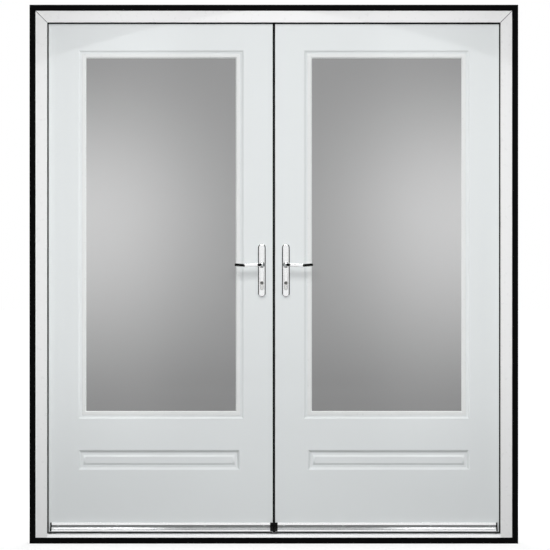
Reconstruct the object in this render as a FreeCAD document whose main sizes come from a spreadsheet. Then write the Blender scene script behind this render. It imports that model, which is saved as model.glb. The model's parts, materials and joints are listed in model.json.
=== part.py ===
import FreeCAD, Part
import math
import os
import re
import Sketcher

# Glazed double door: a master leaf (left, seen from outside) and a slave leaf, hung in a hollow
# PVC-U frame and opening inwards. X runs to the right seen from outside, +Y runs into the
# building, Z runs up. The origin is the centre of the underside of the sill extension, at the
# middle of the frame's depth. Both leaves are drawn on the left and mirrored for the right.

os.makedirs("parts", exist_ok=True)
doc = FreeCAD.newDocument("double_door")

# ------------------------------------------------------------------ driving dimensions (mm)

SIZES = {
    # frame profiles
    "frame_width": 1900,  # outside of the PVC-U frame
    "frame_height": 2100,
    "frame_depth": 70,
    "frame_face": 46,  # width of the face seen from outside
    "lip_depth": 20,  # thickness of the lip that stands in front of the leaves
    "rebate_wall": 34,  # outer edge to the rebate
    "profile_wall": 3,
    "steel_wall": 1.5,
    "steel_clearance": 0.4,
    "steel_setback": 60,  # from the frame's corners to the ends of the steel
    "extension_width": 24,  # black perimeter profile
    "extension_wall": 2.5,
    "fixing_radius": 4,  # holes for the frame fixings
    "fixing_inset": 150,  # outer fixings, from the frame's ends
    "fixing_pitch": 600,
    "fixing_depth": 46,  # from the frame's front
    # threshold
    "threshold_height": 17.5,
    "threshold_wall": 2,
    "threshold_nose": 4,
    # seals
    "gasket_show": 5.5,  # strip of gasket seen beyond the lip
    "gasket_inset": 1,  # rebate to the gasket's edge
    "seal_clearance": 0.3,
    "meeting_seal_width": 3,
    "meeting_seal_setback": 3,
    "bottom_seal_width": 12,
    # leaves
    "leaf_clearance": 4,  # leaf edge to rebate, at the sides and the top
    "meeting_gap": 10,  # between the two leaves
    "leaf_setback": 23,  # frame's front to leaf's front
    "leaf_thickness": 44,
    "sill_gap": 4.5,  # leaf to threshold
    "skin_thickness": 2.5,
    "stile_width": 75,
    "rail_height": 75,
    # glazing
    "glass_sill": 504,  # frame's bottom to the glass
    "glass_head": 150,  # leaf's top to the glass
    "glass_hinge_side": 163.25,  # leaf's hinge edge to the glass
    "glass_meeting_side": 147,
    "pane_thickness": 4,
    "unit_thickness": 28,
    "unit_cover": 7,  # bead over the edge of the unit
    "unit_clearance": 1,
    "spacer_width": 8,
    "spacer_inset": 2,
    "bead_leg": 2.5,
    "bead_overlap": 6,  # bead over the skin
    "bead_reveal": 1.7,  # groove round the bead
    "bead_setback": 1,  # bead behind the skin's face
    "bead_chamfer": 3,
    "cutout_clearance": 0.5,
    "cassette_gap": 0.4,
    "surround_slope": 15,
    "surround_depth": 6,
    # low panel
    "panel_side": 130,  # leaf's edges to the panel
    "panel_sill": 267,  # frame's bottom to the panel
    "panel_height": 83,
    "panel_depth": 8,
    "panel_slope": 12,
    "panel_floor": 9,
    "field_slope": 8,
    "field_height": 4.2,
    # weatherbars
    "bar_sill": 26,  # frame's bottom to the bar
    "bar_height": 33,
    "bar_depth": 32,
    "bar_outer_inset": 26,  # leaf's hinge edge to the bar
    "bar_inner_inset": 10,  # leaf's meeting edge to the bar
    "bar_lip": 12,
    "bar_lip_height": 9,
    "bar_groove": 4,  # back wall at the screw groove
    "bar_groove_height": 8,
    "bar_shoulder": 14,
    "bar_nose_height": 5,
    "bar_nose_slope": 2,
    "bar_wall": 3,
    "outer_cap_length": 6,
    "inner_cap_length": 12.6,
    "screw_near": 175,  # inner screws, from the bar's middle
    "screw_inset": 25.5,  # outer screws, from the bar's ends
    "screw_radius": 1.8,
    "screw_length": 25,
    "screw_head_radius": 3.6,
    "screw_head_height": 2,
    # handles
    "handle_height": 1087,  # frame's bottom to the levers
    "backset": 43,  # leaf's edge to the spindle
    "plate_width": 32,
    "plate_height": 214,
    "plate_above": 85,  # backplate above the spindle
    "plate_thickness": 9,
    "plate_round": 3,
    "collar_radius": 12,
    "collar_height": 9,
    "handle_play": 0.3,
    "lever_radius": 6,
    "lever_tip_round": 4,
    "lever_bend": 14,
    "lever_stand": 42,  # backplate to the lever's middle
    "lever_straight": 62,  # spindle to where the grip turns back towards the leaf
    "lever_return": 11,  # how much nearer the leaf the tip is
    "lever_return_bend": 24,
    "lever_reach": 108,
    "lever_lift": 45,  # degrees
    "spindle_size": 8,
    "spindle_clearance": 2.3,
    # key cylinders
    "cylinder_drop": 72,  # spindle to key
    "cylinder_radius": 8.5,
    "cylinder_foot": 24.5,
    "cylinder_foot_width": 10,
    "cylinder_proud": 3,  # beyond the backplate
    "cylinder_clearance": 0.4,
    "plug_radius": 6.6,
    "plug_fit": 0.05,
    "plug_setback": 0.4,
    "keyway_width": 2.2,
    "keyway_height": 8.4,
    "keyway_depth": 24,
    "cam_length": 12.7,
    "cam_width": 8,
    "cam_thickness": 10,
    "cam_clearance": 0.3,
    # locks
    "faceplate_width": 20,
    "faceplate_thickness": 3,
    "faceplate_head": 155,  # leaf's top to the faceplate
    "faceplate_foot": 245,
    "case_depth": 63,  # leaf's edge to the back of the case
    "case_width": 15,
    "case_wall": 1.5,
    "case_above": 48,
    "case_below": 106,
    "case_clearance": 0.5,
    "slave_case_setback": 15,
    "slave_case_above": 30,
    "bolt_thickness": 8.5,
    "bolt_side_play": 0.4,
    "latch_height": 20,
    "latch_above": 28,
    "latch_length": 40,
    "latch_throw": 7,
    "deadbolt_height": 26,
    "deadbolt_below": 42,
    "deadbolt_length": 50,
    "deadbolt_setback": 0.3,
    "bolt_window": 0.6,  # play round the bolts in the faceplate
    "keep_play": 1.5,  # play round the bolts in the keeps
    "gear_radius": 13,
    "gear_clearance": 0.6,
    "rail_thickness": 2.5,
    "rail_width": 10,
    "rail_setback": 5,  # leaf's edge to the rail
    "rail_play": 0.3,
    "rail_arm_height": 44,
    "hook_head": 285,  # leaf's top to the upper hook's pivot
    "hook_foot": 365,  # leaf's bottom to the lower one's
    "hook_setback": 11,  # leaf's edge to the hook's pivot
    "hook_length": 36,
    "hook_width": 12,
    "hook_heel": 8,
    "hook_beak": 10,
    "hook_beak_drop": 14,
    "hook_beak_slot": 9,
    "hook_thickness": 6,
    "hook_side_play": 1,  # rail to the hook
    "hook_room": 0.5,  # round the swinging hook in its case
    "hook_pin_radius": 3,
    "hook_fit": 0.05,
    # shootbolts
    "shootbolt_backset": 24,
    "shootbolt_radius": 4,
    "shootbolt_clearance": 0.4,
    "shootbolt_inset": 1,
    "shootbolt_start": 5,
    "keep_plate_length": 34,
    "keep_plate_width": 22,
    "keep_plate_thickness": 2,
    "bush_wall": 2.5,
    "bush_length": 8,
    "socket_depth": 24,
    # hinges
    "hinge_half": 50,
    "hinge_inset": 200,  # leaf's ends to the outer hinges
    "hinge_offset": 10,  # frame's back to the pin
    "hinge_plate": 3,
    "hinge_pin_radius": 5,
    "hinge_knuckle_radius": 8,
    "hinge_middle": 20,  # half the leaf's knuckle
    "hinge_play": 0.3,
    "hinge_fit": 0.05,
    "hinge_leaf_reach": 46,
    "hinge_leaf_start": 4,
    "hinge_frame_reach": 32,
    "hinge_frame_start": 9,
    "hinge_cap": 2,
}

# ------------------------------------------------------------------ derived places

DERIVED = {
    "frame_right": "frame_width / 2",
    "frame_left": "-frame_right",
    "frame_bottom": "extension_width",
    "frame_top": "frame_bottom + frame_height",
    "front": "-frame_depth / 2",
    "back": "frame_depth / 2",
    "lip_back": "front + lip_depth",
    "lip_side": "frame_right - frame_face",
    "lip_top": "frame_top - frame_face",
    "rebate_side": "frame_right - rebate_wall",
    "rebate_top": "frame_top - rebate_wall",
    "threshold_top": "frame_bottom + threshold_height",
    "leaf_left": "-(rebate_side - leaf_clearance)",
    "leaf_right": "-meeting_gap / 2",
    "leaf_bottom": "threshold_top + sill_gap",
    "leaf_top": "rebate_top - leaf_clearance",
    "leaf_front": "front + leaf_setback",
    "leaf_back": "leaf_front + leaf_thickness",
    "leaf_middle": "leaf_front + leaf_thickness / 2",
    "core_front": "leaf_front + skin_thickness",
    "core_back": "leaf_back - skin_thickness",
    "glass_left": "leaf_left + glass_hinge_side",
    "glass_right": "leaf_right - glass_meeting_side",
    "glass_low": "frame_bottom + glass_sill",
    "glass_high": "leaf_top - glass_head",
    "unit_front": "leaf_middle - unit_thickness / 2",
    "unit_back": "leaf_middle + unit_thickness / 2",
    # distances outwards from the edge of the glass that is seen
    "leg_in": "unit_cover + unit_clearance",
    "leg_out": "leg_in + bead_leg",
    "cutout_out": "leg_out + cutout_clearance",
    "flange_out": "cutout_out + bead_overlap",
    "floor_out": "flange_out + bead_reveal",
    "slope_out": "floor_out + surround_slope",
    "panel_left": "leaf_left + panel_side",
    "panel_right": "leaf_right - panel_side",
    "panel_low": "frame_bottom + panel_sill",
    "panel_high": "panel_low + panel_height",
    "bar_low": "frame_bottom + bar_sill",
    "bar_left": "leaf_left + bar_outer_inset",
    "bar_right": "leaf_right - bar_inner_inset",
    "bar_middle": "(bar_left + bar_right) / 2",
    "groove_top": "bar_height - bar_lip_height",
    "groove_bottom": "groove_top - bar_groove_height",
    "screw_z": "bar_low + (groove_top + groove_bottom) / 2",
    "spindle_x": "leaf_right - backset",
    "spindle_z": "frame_bottom + handle_height",
    "spindle_corner": "spindle_size * sqrt(2) / 2",
    "plate_front": "leaf_front - plate_thickness",
    "key_z": "spindle_z - cylinder_drop",
    "case_front": "leaf_middle - case_width / 2",
    "case_back": "leaf_middle + case_width / 2",
    "case_low": "spindle_z - case_below",
    "case_high": "spindle_z + case_above",
    "case_left": "leaf_right - case_depth",
    "case_mouth": "leaf_right - faceplate_thickness",
    "slave_mouth": "leaf_right - slave_case_setback",
    "slave_case_high": "spindle_z + slave_case_above",
    "bolt_back": "case_back - case_wall - bolt_side_play",
    "bolt_front": "bolt_back - bolt_thickness",
    "latch_z": "spindle_z + latch_above",
    "deadbolt_z": "spindle_z - deadbolt_below",
    "cam_radius": "sqrt(cam_length ^ 2 + cam_width ^ 2 / 4)",  # to the cam's corners
    "rail_travel": "gear_radius * lever_lift * pi / 180",
    "rail_front": "case_front + case_wall + rail_play",
    "rail_back": "rail_front + rail_thickness",
    "rail_right": "leaf_right - rail_setback",
    "rail_left": "rail_right - rail_width",
    "hook_x": "leaf_right - hook_setback",
    "hook_front": "rail_back + hook_side_play",
    "hook_back": "hook_front + hook_thickness",
    "hook_corner": "sqrt(hook_length ^ 2 + (hook_width / 2 + hook_beak) ^ 2)",
    "hook_heel_corner": "sqrt(hook_heel ^ 2 + hook_width ^ 2 / 4)",
    "hook_case_above": "hook_corner + hook_room + case_wall",
    "hook_case_below": "hook_heel_corner + hook_room + case_wall",
    "hook_case_depth": "hook_setback + hook_width / 2 + hook_beak + hook_room + case_wall",
    "hook_tip": "sqrt(hook_length ^ 2 + hook_width ^ 2 / 4)",
    "keep_depth": "hook_tip - hook_setback - meeting_gap + keep_play",
    "upper_hook_z": "leaf_top - hook_head",
    "lower_hook_z": "leaf_bottom + hook_foot",
    "shootbolt_x": "leaf_right - shootbolt_backset",
    "hinge_x": "-(rebate_side - leaf_clearance / 2)",
    "hinge_y": "back + hinge_offset",
    "hinge_low": "leaf_bottom + hinge_inset",
    "hinge_high": "leaf_top - hinge_inset",
    "hinge_centre": "(hinge_low + hinge_high) / 2",
}

sheet = doc.addObject("Spreadsheet::Sheet", "dims")
for row, (alias, value) in enumerate(SIZES.items(), start=1):
    sheet.set(f"A{row}", alias)
    sheet.set(f"B{row}", str(value))
    sheet.setAlias(f"B{row}", alias)
doc.recompute()


def written(text):
    """A formula with the derived places written out and every size read from the sheet."""

    def swap(match):
        word = match.group(0)
        if word in DERIVED:
            return f"({written(DERIVED[word])})"
        return f"dims.{word}" if word in SIZES else word

    return re.sub(r"[a-z][a-z_]*", swap, text)


def bind(thing, path, text):
    thing.setExpression(path, written(text))


# ------------------------------------------------------------------ helpers for solids

PAST = 1  # how far a cutter runs past the face it cuts
ALONG = {
    "x": FreeCAD.Rotation(FreeCAD.Vector(0, 1, 0), 90),
    "y": FreeCAD.Rotation(FreeCAD.Vector(1, 0, 0), -90),
    "z": FreeCAD.Rotation(),
}


def place(thing, x="0", y="0", z="0"):
    for axis, text in zip("xyz", (x, y, z)):
        bind(thing, f"Placement.Base.{axis}", text)


def box(name, x, y, z):
    """A block between the low and high formulas given for each axis."""
    solid = doc.addObject("Part::Box", name)
    for size, (low, high) in zip(("Length", "Width", "Height"), (x, y, z)):
        bind(solid, size, f"({high}) - ({low})")
    place(solid, x[0], y[0], z[0])
    return solid


def rod(name, axis, radius, x, y, z):
    """A cylinder along one axis, whose formula is a (low, high) pair; the others are its centre."""
    solid = doc.addObject("Part::Cylinder", name)
    solid.Placement = FreeCAD.Placement(FreeCAD.Vector(), ALONG[axis])
    span = {"x": x, "y": y, "z": z}[axis]
    bind(solid, "Radius", radius)
    bind(solid, "Height", f"({span[1]}) - ({span[0]})")
    place(solid, *(text[0] if isinstance(text, tuple) else text for text in (x, y, z)))
    return solid


def frustum(name, y, near, far):
    """Rectangle near at the first y runs straight to rectangle far at the second."""
    solid = doc.addObject("Part::Wedge", name)
    values = (*near, *far, *y)
    names = ("Xmin", "Xmax", "Zmin", "Zmax", "X2min", "X2max", "Z2min", "Z2max", "Ymin", "Ymax")
    for path, text in zip(names, values):
        bind(solid, path, text)
    return solid


def fuse(name, *solids):
    joined = doc.addObject("Part::MultiFuse", name)
    joined.Shapes = list(solids)
    joined.Refine = True
    return joined


def cut(name, base, *tools):
    result = doc.addObject("Part::Cut", name)
    result.Base = base
    result.Tool = tools[0] if len(tools) == 1 else group(f"{name}_tools", *tools)
    return result


def group(name, *solids):
    """Separate solids that share a node."""
    several = doc.addObject("Part::Compound", name)
    several.Links = list(solids)
    return several


def mirrored(name, source, axis="x"):
    """The same piece on the other leaf, or on the other face of the same leaf."""
    image = doc.addObject("Part::Mirroring", name)
    image.Source = source
    image.Normal = (1, 0, 0) if axis == "x" else (0, 1, 0)
    if axis == "y":
        bind(image, "Base.y", "leaf_middle")
    return image


def section(name, role, loops, length, x="0", y="0", z="0"):
    """A padded sketch. Each loop is a list of (first, second) formulas on the named plane."""
    body = doc.addObject("PartDesign::Body", name)
    plane = next(f for f in body.Origin.OriginFeatures if f.Role == role)
    sketch = body.newObject("Sketcher::SketchObject", f"{name}_sketch")
    sketch.AttachmentSupport = (plane, [""])
    sketch.MapMode = "FlatFace"
    for loop in loops:
        outline(sketch, loop)
    pad = body.newObject("PartDesign::Pad", f"{name}_pad")
    pad.Profile = sketch
    bind(pad, "Length", length)
    body.Tip = pad
    place(body, x, y, z)
    return body


def number(text):
    """What a formula comes to with the sizes as they stand."""
    return float(sheet.evalExpression(written(text).replace("dims.", "")))


def hold(sketch, text, *constraint):
    """A dimension of a sketch, bound to a formula."""
    held = sketch.addConstraint(Sketcher.Constraint(*constraint, number(text)))
    bind(sketch, f"Constraints[{held}]", text)


def outline(sketch, loop):
    """A closed outline whose every corner is held by two formulas."""
    first = sketch.GeometryCount
    corners = [FreeCAD.Vector(number(u), number(v), 0) for u, v in loop]
    for start, end in zip(corners, corners[1:] + corners[:1]):
        sketch.addGeometry(Part.LineSegment(start, end))
    for i, (u, v) in enumerate(loop):
        after = first + (i + 1) % len(loop)
        sketch.addConstraint(Sketcher.Constraint("Coincident", first + i, 2, after, 1))
        hold(sketch, u, "DistanceX", -1, 1, first + i, 1)
        hold(sketch, v, "DistanceY", -1, 1, first + i, 1)


def block_outline(u, v):
    return [(u[0], v[0]), (u[1], v[0]), (u[1], v[1]), (u[0], v[1])]


NODES = {}


def node(name, solid):
    """Name a finished piece."""
    solid.Label = name
    NODES[name] = solid
    return solid


def both(name, solid):
    """A piece that each leaf has."""
    node(f"master_{name}", solid)
    node(f"slave_{name}", mirrored(f"slave_{name}", solid))
    return solid


def slave(name, solid):
    """A piece drawn on the left that only the right leaf has."""
    return node(f"slave_{name}", mirrored(f"slave_{name}", solid))


# ------------------------------------------------------------------ rectangles round the glass


def grown(rectangle, by):
    """A rectangle (x low, x high, z low, z high) made larger all round."""
    left, right, low, high = rectangle
    return (f"{left} - ({by})", f"{right} + ({by})", f"{low} - ({by})", f"{high} + ({by})")


def slab(name, rectangle, y):
    """A block that covers a rectangle between two depths."""
    return box(name, rectangle[:2], y, rectangle[2:])


GLASS = ("glass_left", "glass_right", "glass_low", "glass_high")
PANEL = ("panel_left", "panel_right", "panel_low", "panel_high")
LEAF = ("leaf_left", "leaf_right", "leaf_bottom", "leaf_top")


# ------------------------------------------------------------------ frame


def frame_section(name, role, across, length, **at):
    """The outer frame's profile: a face with a lip in front, the rebate, and two chambers.

    across turns a distance in from the frame's outer edge and a depth into sketch formulas.
    """
    face = [
        ("0", "front"),
        ("frame_face", "front"),
        ("frame_face", "lip_back"),
        ("rebate_wall", "lip_back"),
        ("rebate_wall", "back"),
        ("0", "back"),
    ]
    lip_chamber = block_outline(
        ("profile_wall", "frame_face - profile_wall"),
        ("front + profile_wall", "lip_back - profile_wall"),
    )
    main_chamber = block_outline(
        ("profile_wall", "rebate_wall - profile_wall"), ("lip_back", "back - profile_wall")
    )
    loops = [[across(u, v) for u, v in loop] for loop in (face, lip_chamber, main_chamber)]
    return section(name, role, loops, length, **at)


def frame_pieces():
    mitre = "frame_face + profile_wall"

    def mitre_tool(name, corner):
        """A three-cornered prism beyond or below the mitre line, over the whole depth."""
        loop = [
            ("frame_left - profile_wall", "frame_top + profile_wall"),
            (f"frame_left + {mitre}", f"frame_top - ({mitre})"),
            corner,
        ]
        depth = "frame_depth + 2 * profile_wall"
        return section(name, "XZ_Plane", [loop], depth, y="back + profile_wall")

    above = mitre_tool("mitre_above", (f"frame_left + {mitre}", "frame_top + profile_wall"))
    below = mitre_tool("mitre_below", ("frame_left - profile_wall", f"frame_top - ({mitre})"))

    upright = frame_section(
        "jamb_profile",
        "XY_Plane",
        lambda u, v: (f"frame_left + {u}", v),
        "frame_height",
        z="frame_bottom",
    )
    lintel = frame_section(
        "head_profile",
        "YZ_Plane",
        lambda u, v: (v, f"frame_top - ({u})"),
        "frame_width",
        x="frame_left",
    )

    # fixing holes run through the extension, both walls of the jamb and the steel
    fixings = []
    heights = [
        "frame_bottom + fixing_inset",
        "(frame_bottom + frame_top - fixing_pitch) / 2",
        "(frame_bottom + frame_top + fixing_pitch) / 2",
        "frame_top - fixing_inset",
    ]
    reach = (f"frame_left - extension_width - {PAST}", f"{PAST} - rebate_side")
    for i, height in enumerate(heights):
        hole = rod(f"fixing_{i}", "x", "fixing_radius", reach, "front + fixing_depth", height)
        fixings.append(hole)
    fixing_holes = group("fixing_holes", *fixings)

    left = cut("jamb", upright, above, fixing_holes)
    node("frame_jamb_left", left)
    node("frame_jamb_right", mirrored("jamb_right", left))

    # the top shootbolt goes up through the head's rebate wall and the steel behind it
    bolt_hole = mirrored(
        "head_bolt_hole",
        rod(
            "head_bolt_rod",
            "z",
            "shootbolt_radius + shootbolt_clearance",
            "shootbolt_x",
            "leaf_middle",
            (f"rebate_top - {PAST}", "rebate_top + socket_depth"),
        ),
    )
    node("frame_head", cut("head", lintel, below, mirrored("mitre_right", below), bolt_hole))

    reinforcement(fixing_holes, bolt_hole)
    perimeter_extension(fixing_holes)


def reinforcement(fixing_holes, bolt_hole):
    """Open steel channels in the main chambers of the jambs and the head."""
    near = "profile_wall + steel_clearance"
    far = "rebate_wall - profile_wall - steel_clearance"
    y = ("lip_back + steel_clearance", "back - profile_wall - steel_clearance")
    hollow_y = (f"{y[0]} + steel_wall", f"{y[1]} - steel_wall")
    run = ("frame_bottom + steel_setback", "frame_top - steel_setback")
    shell = box("steel_jamb", (f"frame_left + {near}", f"frame_left + {far}"), y, run)
    hollow = box(
        "steel_jamb_hollow",
        (f"frame_left + {near} - {PAST}", f"frame_left + {far} - steel_wall"),
        hollow_y,
        run,
    )
    upright = cut("steel_upright", shell, hollow, fixing_holes)
    run = ("frame_left + steel_setback", "frame_right - steel_setback")
    shell = box("steel_head", run, y, (f"frame_top - ({far})", f"frame_top - ({near})"))
    hollow = box(
        "steel_head_hollow",
        run,
        hollow_y,
        (f"frame_top - ({far}) + steel_wall", f"frame_top - ({near}) + {PAST}"),
    )
    lintel = cut("steel_lintel", shell, hollow, bolt_hole)
    pieces = (upright, mirrored("steel_upright_right", upright), lintel)
    node("frame_reinforcement", group("steel", *pieces))


def perimeter_extension(fixing_holes):
    """Black hollow profiles outside the frame: two full-height sides, a top and a sill."""
    wall = "extension_wall"
    full = ("0", "frame_top + extension_width")
    y = ("front", "back")
    inner_y = (f"front + {wall}", f"back - {wall}")
    across = ("frame_left", "frame_right")
    side = cut(
        "extension_side",
        box("extension_side_block", ("frame_left - extension_width", "frame_left"), y, full),
        box(
            "extension_side_hollow",
            (f"frame_left - extension_width + {wall}", f"frame_left - {wall}"),
            inner_y,
            full,
        ),
        fixing_holes,
    )

    def run(name, low, high):
        block = box(f"{name}_block", across, y, (low, high))
        hollow = box(f"{name}_hollow", across, inner_y, (f"{low} + {wall}", f"{high} - {wall}"))
        return cut(name, block, hollow)

    pieces = (
        side,
        mirrored("extension_side_right", side),
        run("extension_top", "frame_top", "frame_top + extension_width"),
        run("extension_sill", "0", "extension_width"),
    )
    node("frame_extension", group("extension", *pieces))


def threshold_pieces():
    wall = "threshold_wall"
    top = "threshold_top"
    nose = "threshold_nose"
    silhouette = [
        ("front", "frame_bottom"),
        ("back", "frame_bottom"),
        ("back", top),
        (f"front + {nose}", top),
        ("front", f"{top} - {nose}"),
    ]
    inside = (f"front + {nose} + {wall}", f"back - {wall}")
    third = f"({inside[1]} - ({inside[0]}) - 2 * {wall}) / 3"
    chambers = []
    for i in range(3):
        start = f"{inside[0]} + {i} * ({third} + {wall})"
        depth = (f"frame_bottom + {wall}", f"{top} - {wall}")
        chambers.append(block_outline((start, f"{start} + {third}"), depth))
    bar = section(
        "threshold_profile",
        "YZ_Plane",
        [silhouette, *chambers],
        "2 * rebate_side",
        x="-rebate_side",
    )
    # the lips of the jambs run down to the frame's bottom in front of the threshold's ends
    notch = box(
        "threshold_notch",
        (f"-rebate_side - {PAST}", "-lip_side"),
        (f"front - {PAST}", "lip_back"),
        (f"frame_bottom - {PAST}", f"{top} + {PAST}"),
    )
    bush_radius = "shootbolt_radius + shootbolt_clearance + bush_wall"
    span = (f"{top} - bush_length", top)
    seat = rod("bush_seat", "z", bush_radius, "-shootbolt_x", "leaf_middle", span)
    room = rod(
        "bolt_room",
        "z",
        "shootbolt_radius + shootbolt_clearance",
        "-shootbolt_x",
        "leaf_middle",
        (f"frame_bottom + {wall}", top),
    )
    bar = cut("threshold_bar", bar, notch, mirrored("threshold_notch_right", notch), seat, room)
    node("threshold", bar)

    # keeps for the slave leaf's bolts: a flush bush in the threshold, a plate under the head
    bore = rod(
        "keep_bore",
        "z",
        "shootbolt_radius + shootbolt_clearance",
        "-shootbolt_x",
        "leaf_middle",
        ("frame_bottom", "frame_top"),
    )
    bush = cut("bush", rod("bush_rod", "z", bush_radius, "-shootbolt_x", "leaf_middle", span), bore)
    half = ("keep_plate_length / 2", "keep_plate_width / 2")
    plate = cut(
        "keep_plate",
        box(
            "keep_plate_block",
            (f"-shootbolt_x - {half[0]}", f"-shootbolt_x + {half[0]}"),
            (f"leaf_middle - {half[1]}", f"leaf_middle + {half[1]}"),
            ("rebate_top - keep_plate_thickness", "rebate_top"),
        ),
        bore,
    )
    node("shootbolt_keeps", group("keeps", bush, plate))


def gasket():
    """Rubber strips behind the lips, which the shut leaves lie against."""
    y = ("lip_back", "leaf_front - seal_clearance")
    inner = "lip_side - gasket_show"
    low = "lip_top - gasket_show"
    head = box(
        "gasket_head",
        ("gasket_inset - rebate_side", "rebate_side - gasket_inset"),
        y,
        (low, "rebate_top - gasket_inset"),
    )
    reach = ("gasket_inset - rebate_side", f"-({inner})")
    side = box("gasket_side", reach, y, ("threshold_top", low))
    node("frame_gasket", group("gaskets", head, side, mirrored("gasket_side_right", side)))


# ------------------------------------------------------------------ holes for the hardware

spindle_bore = rod(
    "spindle_bore",
    "y",
    "spindle_corner + spindle_clearance",
    "spindle_x",
    (f"leaf_front - plate_thickness - {PAST}", f"leaf_back + plate_thickness + {PAST}"),
    "spindle_z",
)


def key_shape(name, clearance, y):
    """The outline of a euro cylinder, with the given clearance, between two depths."""
    round_part = rod(
        f"{name}_round", "y", f"cylinder_radius + {clearance}", "spindle_x", y, "key_z"
    )
    half = f"cylinder_foot_width / 2 + {clearance}"
    foot = box(
        f"{name}_foot",
        (f"spindle_x - ({half})", f"spindle_x + {half}"),
        y,
        (f"key_z - cylinder_foot - {clearance}", "key_z"),
    )
    return fuse(name, round_part, foot)


key_bore = key_shape(
    "key_bore",
    "cylinder_clearance",
    (f"leaf_front - plate_thickness - {PAST}", f"leaf_back + plate_thickness + {PAST}"),
)


def bar_screw(i, x):
    """A self-tapping screw through the weatherbar's groove into the leaf."""
    front = "leaf_front - bar_groove"
    head = rod(
        f"screw_head_{i}",
        "y",
        "screw_head_radius",
        x,
        (f"{front} - screw_head_height", front),
        "screw_z",
    )
    shank = rod(
        f"screw_shank_{i}", "y", "screw_radius", x, (front, f"{front} + screw_length"), "screw_z"
    )
    return fuse(f"bar_screw_{i}", head, shank)


screw_places = (
    "bar_left + screw_inset",
    "bar_middle - screw_near",
    "bar_middle + screw_near",
    "bar_right - screw_inset",
)
screws = group("screws", *(bar_screw(i, x) for i, x in enumerate(screw_places)))


# ------------------------------------------------------------------ leaf


def slab_pieces():
    front = ("leaf_front", "core_front")
    plate = slab("skin_plate", LEAF, front)
    sunk = "leaf_front + surround_depth"
    surround = frustum(
        "surround", ("leaf_front", sunk), grown(GLASS, "slope_out"), grown(GLASS, "floor_out")
    )
    surround_back = frustum(
        "surround_back",
        ("core_front", f"{sunk} + skin_thickness"),
        grown(GLASS, "slope_out"),
        grown(GLASS, "floor_out"),
    )
    floor = grown(PANEL, "-(panel_slope)")
    field = grown(PANEL, "-(panel_slope + panel_floor)")
    field_face = grown(PANEL, "-(panel_slope + panel_floor + field_slope)")
    low = "leaf_front + panel_depth"
    panel = frustum("panel", ("leaf_front", low), PANEL, floor)
    panel_back = frustum("panel_back", ("core_front", f"{low} + skin_thickness"), PANEL, floor)
    raised = frustum("field", (f"{low} - field_height", low), field_face, field)
    raised_back = frustum(
        "field_back",
        (f"{low} - field_height + skin_thickness", f"{low} + skin_thickness"),
        field_face,
        field,
    )
    window = slab("window", grown(GLASS, "cutout_out"), (f"leaf_front - {PAST}", f"leaf_back + {PAST}"))

    sheet_metal = fuse("skin_backed", plate, surround_back, panel_back)
    sunk_skin = cut("skin_sunk", sheet_metal, surround, panel)
    skin = cut("skin", fuse("skin_raised", sunk_skin, raised), raised_back, window)
    skin = cut("skin_bored", skin, spindle_bore, key_bore)
    both("outer_skin", cut("outer_skin", skin, screws))
    both("inner_skin", mirrored("inner_skin", skin, "y"))

    # the foam fills what the skins, stiles and rails leave
    foam = box(
        "foam",
        ("leaf_left + stile_width", "leaf_right - stile_width"),
        ("core_front", "core_back"),
        ("leaf_bottom + rail_height", "leaf_top - rail_height"),
    )
    hollow = cut("relief", fuse("relief_block", surround_back, panel_back), raised_back)
    both("foam_core", cut("foam_core", foam, hollow, mirrored("relief_in", hollow, "y"), window))


def edge_frame():
    """Stiles and rails. The lock stiles differ, because the locks in them do."""
    y = ("core_front", "core_back")
    full = ("leaf_bottom", "leaf_top")
    between = ("leaf_left + stile_width", "leaf_right - stile_width")
    hinge_stile = cut(
        "hinge_stile",
        box("hinge_stile_block", ("leaf_left", between[0]), y, full),
        screws,
    )
    top = box("top_rail", between, y, ("leaf_top - rail_height", "leaf_top"))
    bottom = cut(
        "bottom_rail",
        box("bottom_rail_block", between, y, ("leaf_bottom", "leaf_bottom + rail_height")),
        screws,
    )
    lock_stile = box("lock_stile_block", (between[1], "leaf_right"), y, full)
    rebate = faceplate_block("faceplate_rebate", "seal_clearance")
    shared = (rebate, spindle_bore, key_bore, screws)
    margin = "case_clearance"
    master_stile = cut(
        "master_lock_stile",
        lock_stile,
        *shared,
        case_block("master_case_pocket", margin),
        hook_case_block("upper_hook_pocket", "upper_hook_z", margin),
        hook_case_block("lower_hook_pocket", "lower_hook_z", margin),
        rail_channel(),
    )
    slave_stile = cut(
        "slave_lock_stile", lock_stile, *shared, slave_case_block("slave_pocket", margin),
        *keep_pockets(), shootbolt_bores()
    )
    rest = (hinge_stile, top, bottom)
    node("master_edge_frame", group("master_edge", *rest, master_stile))
    slave("edge_frame", group("slave_edge", *rest, slave_stile))


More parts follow.
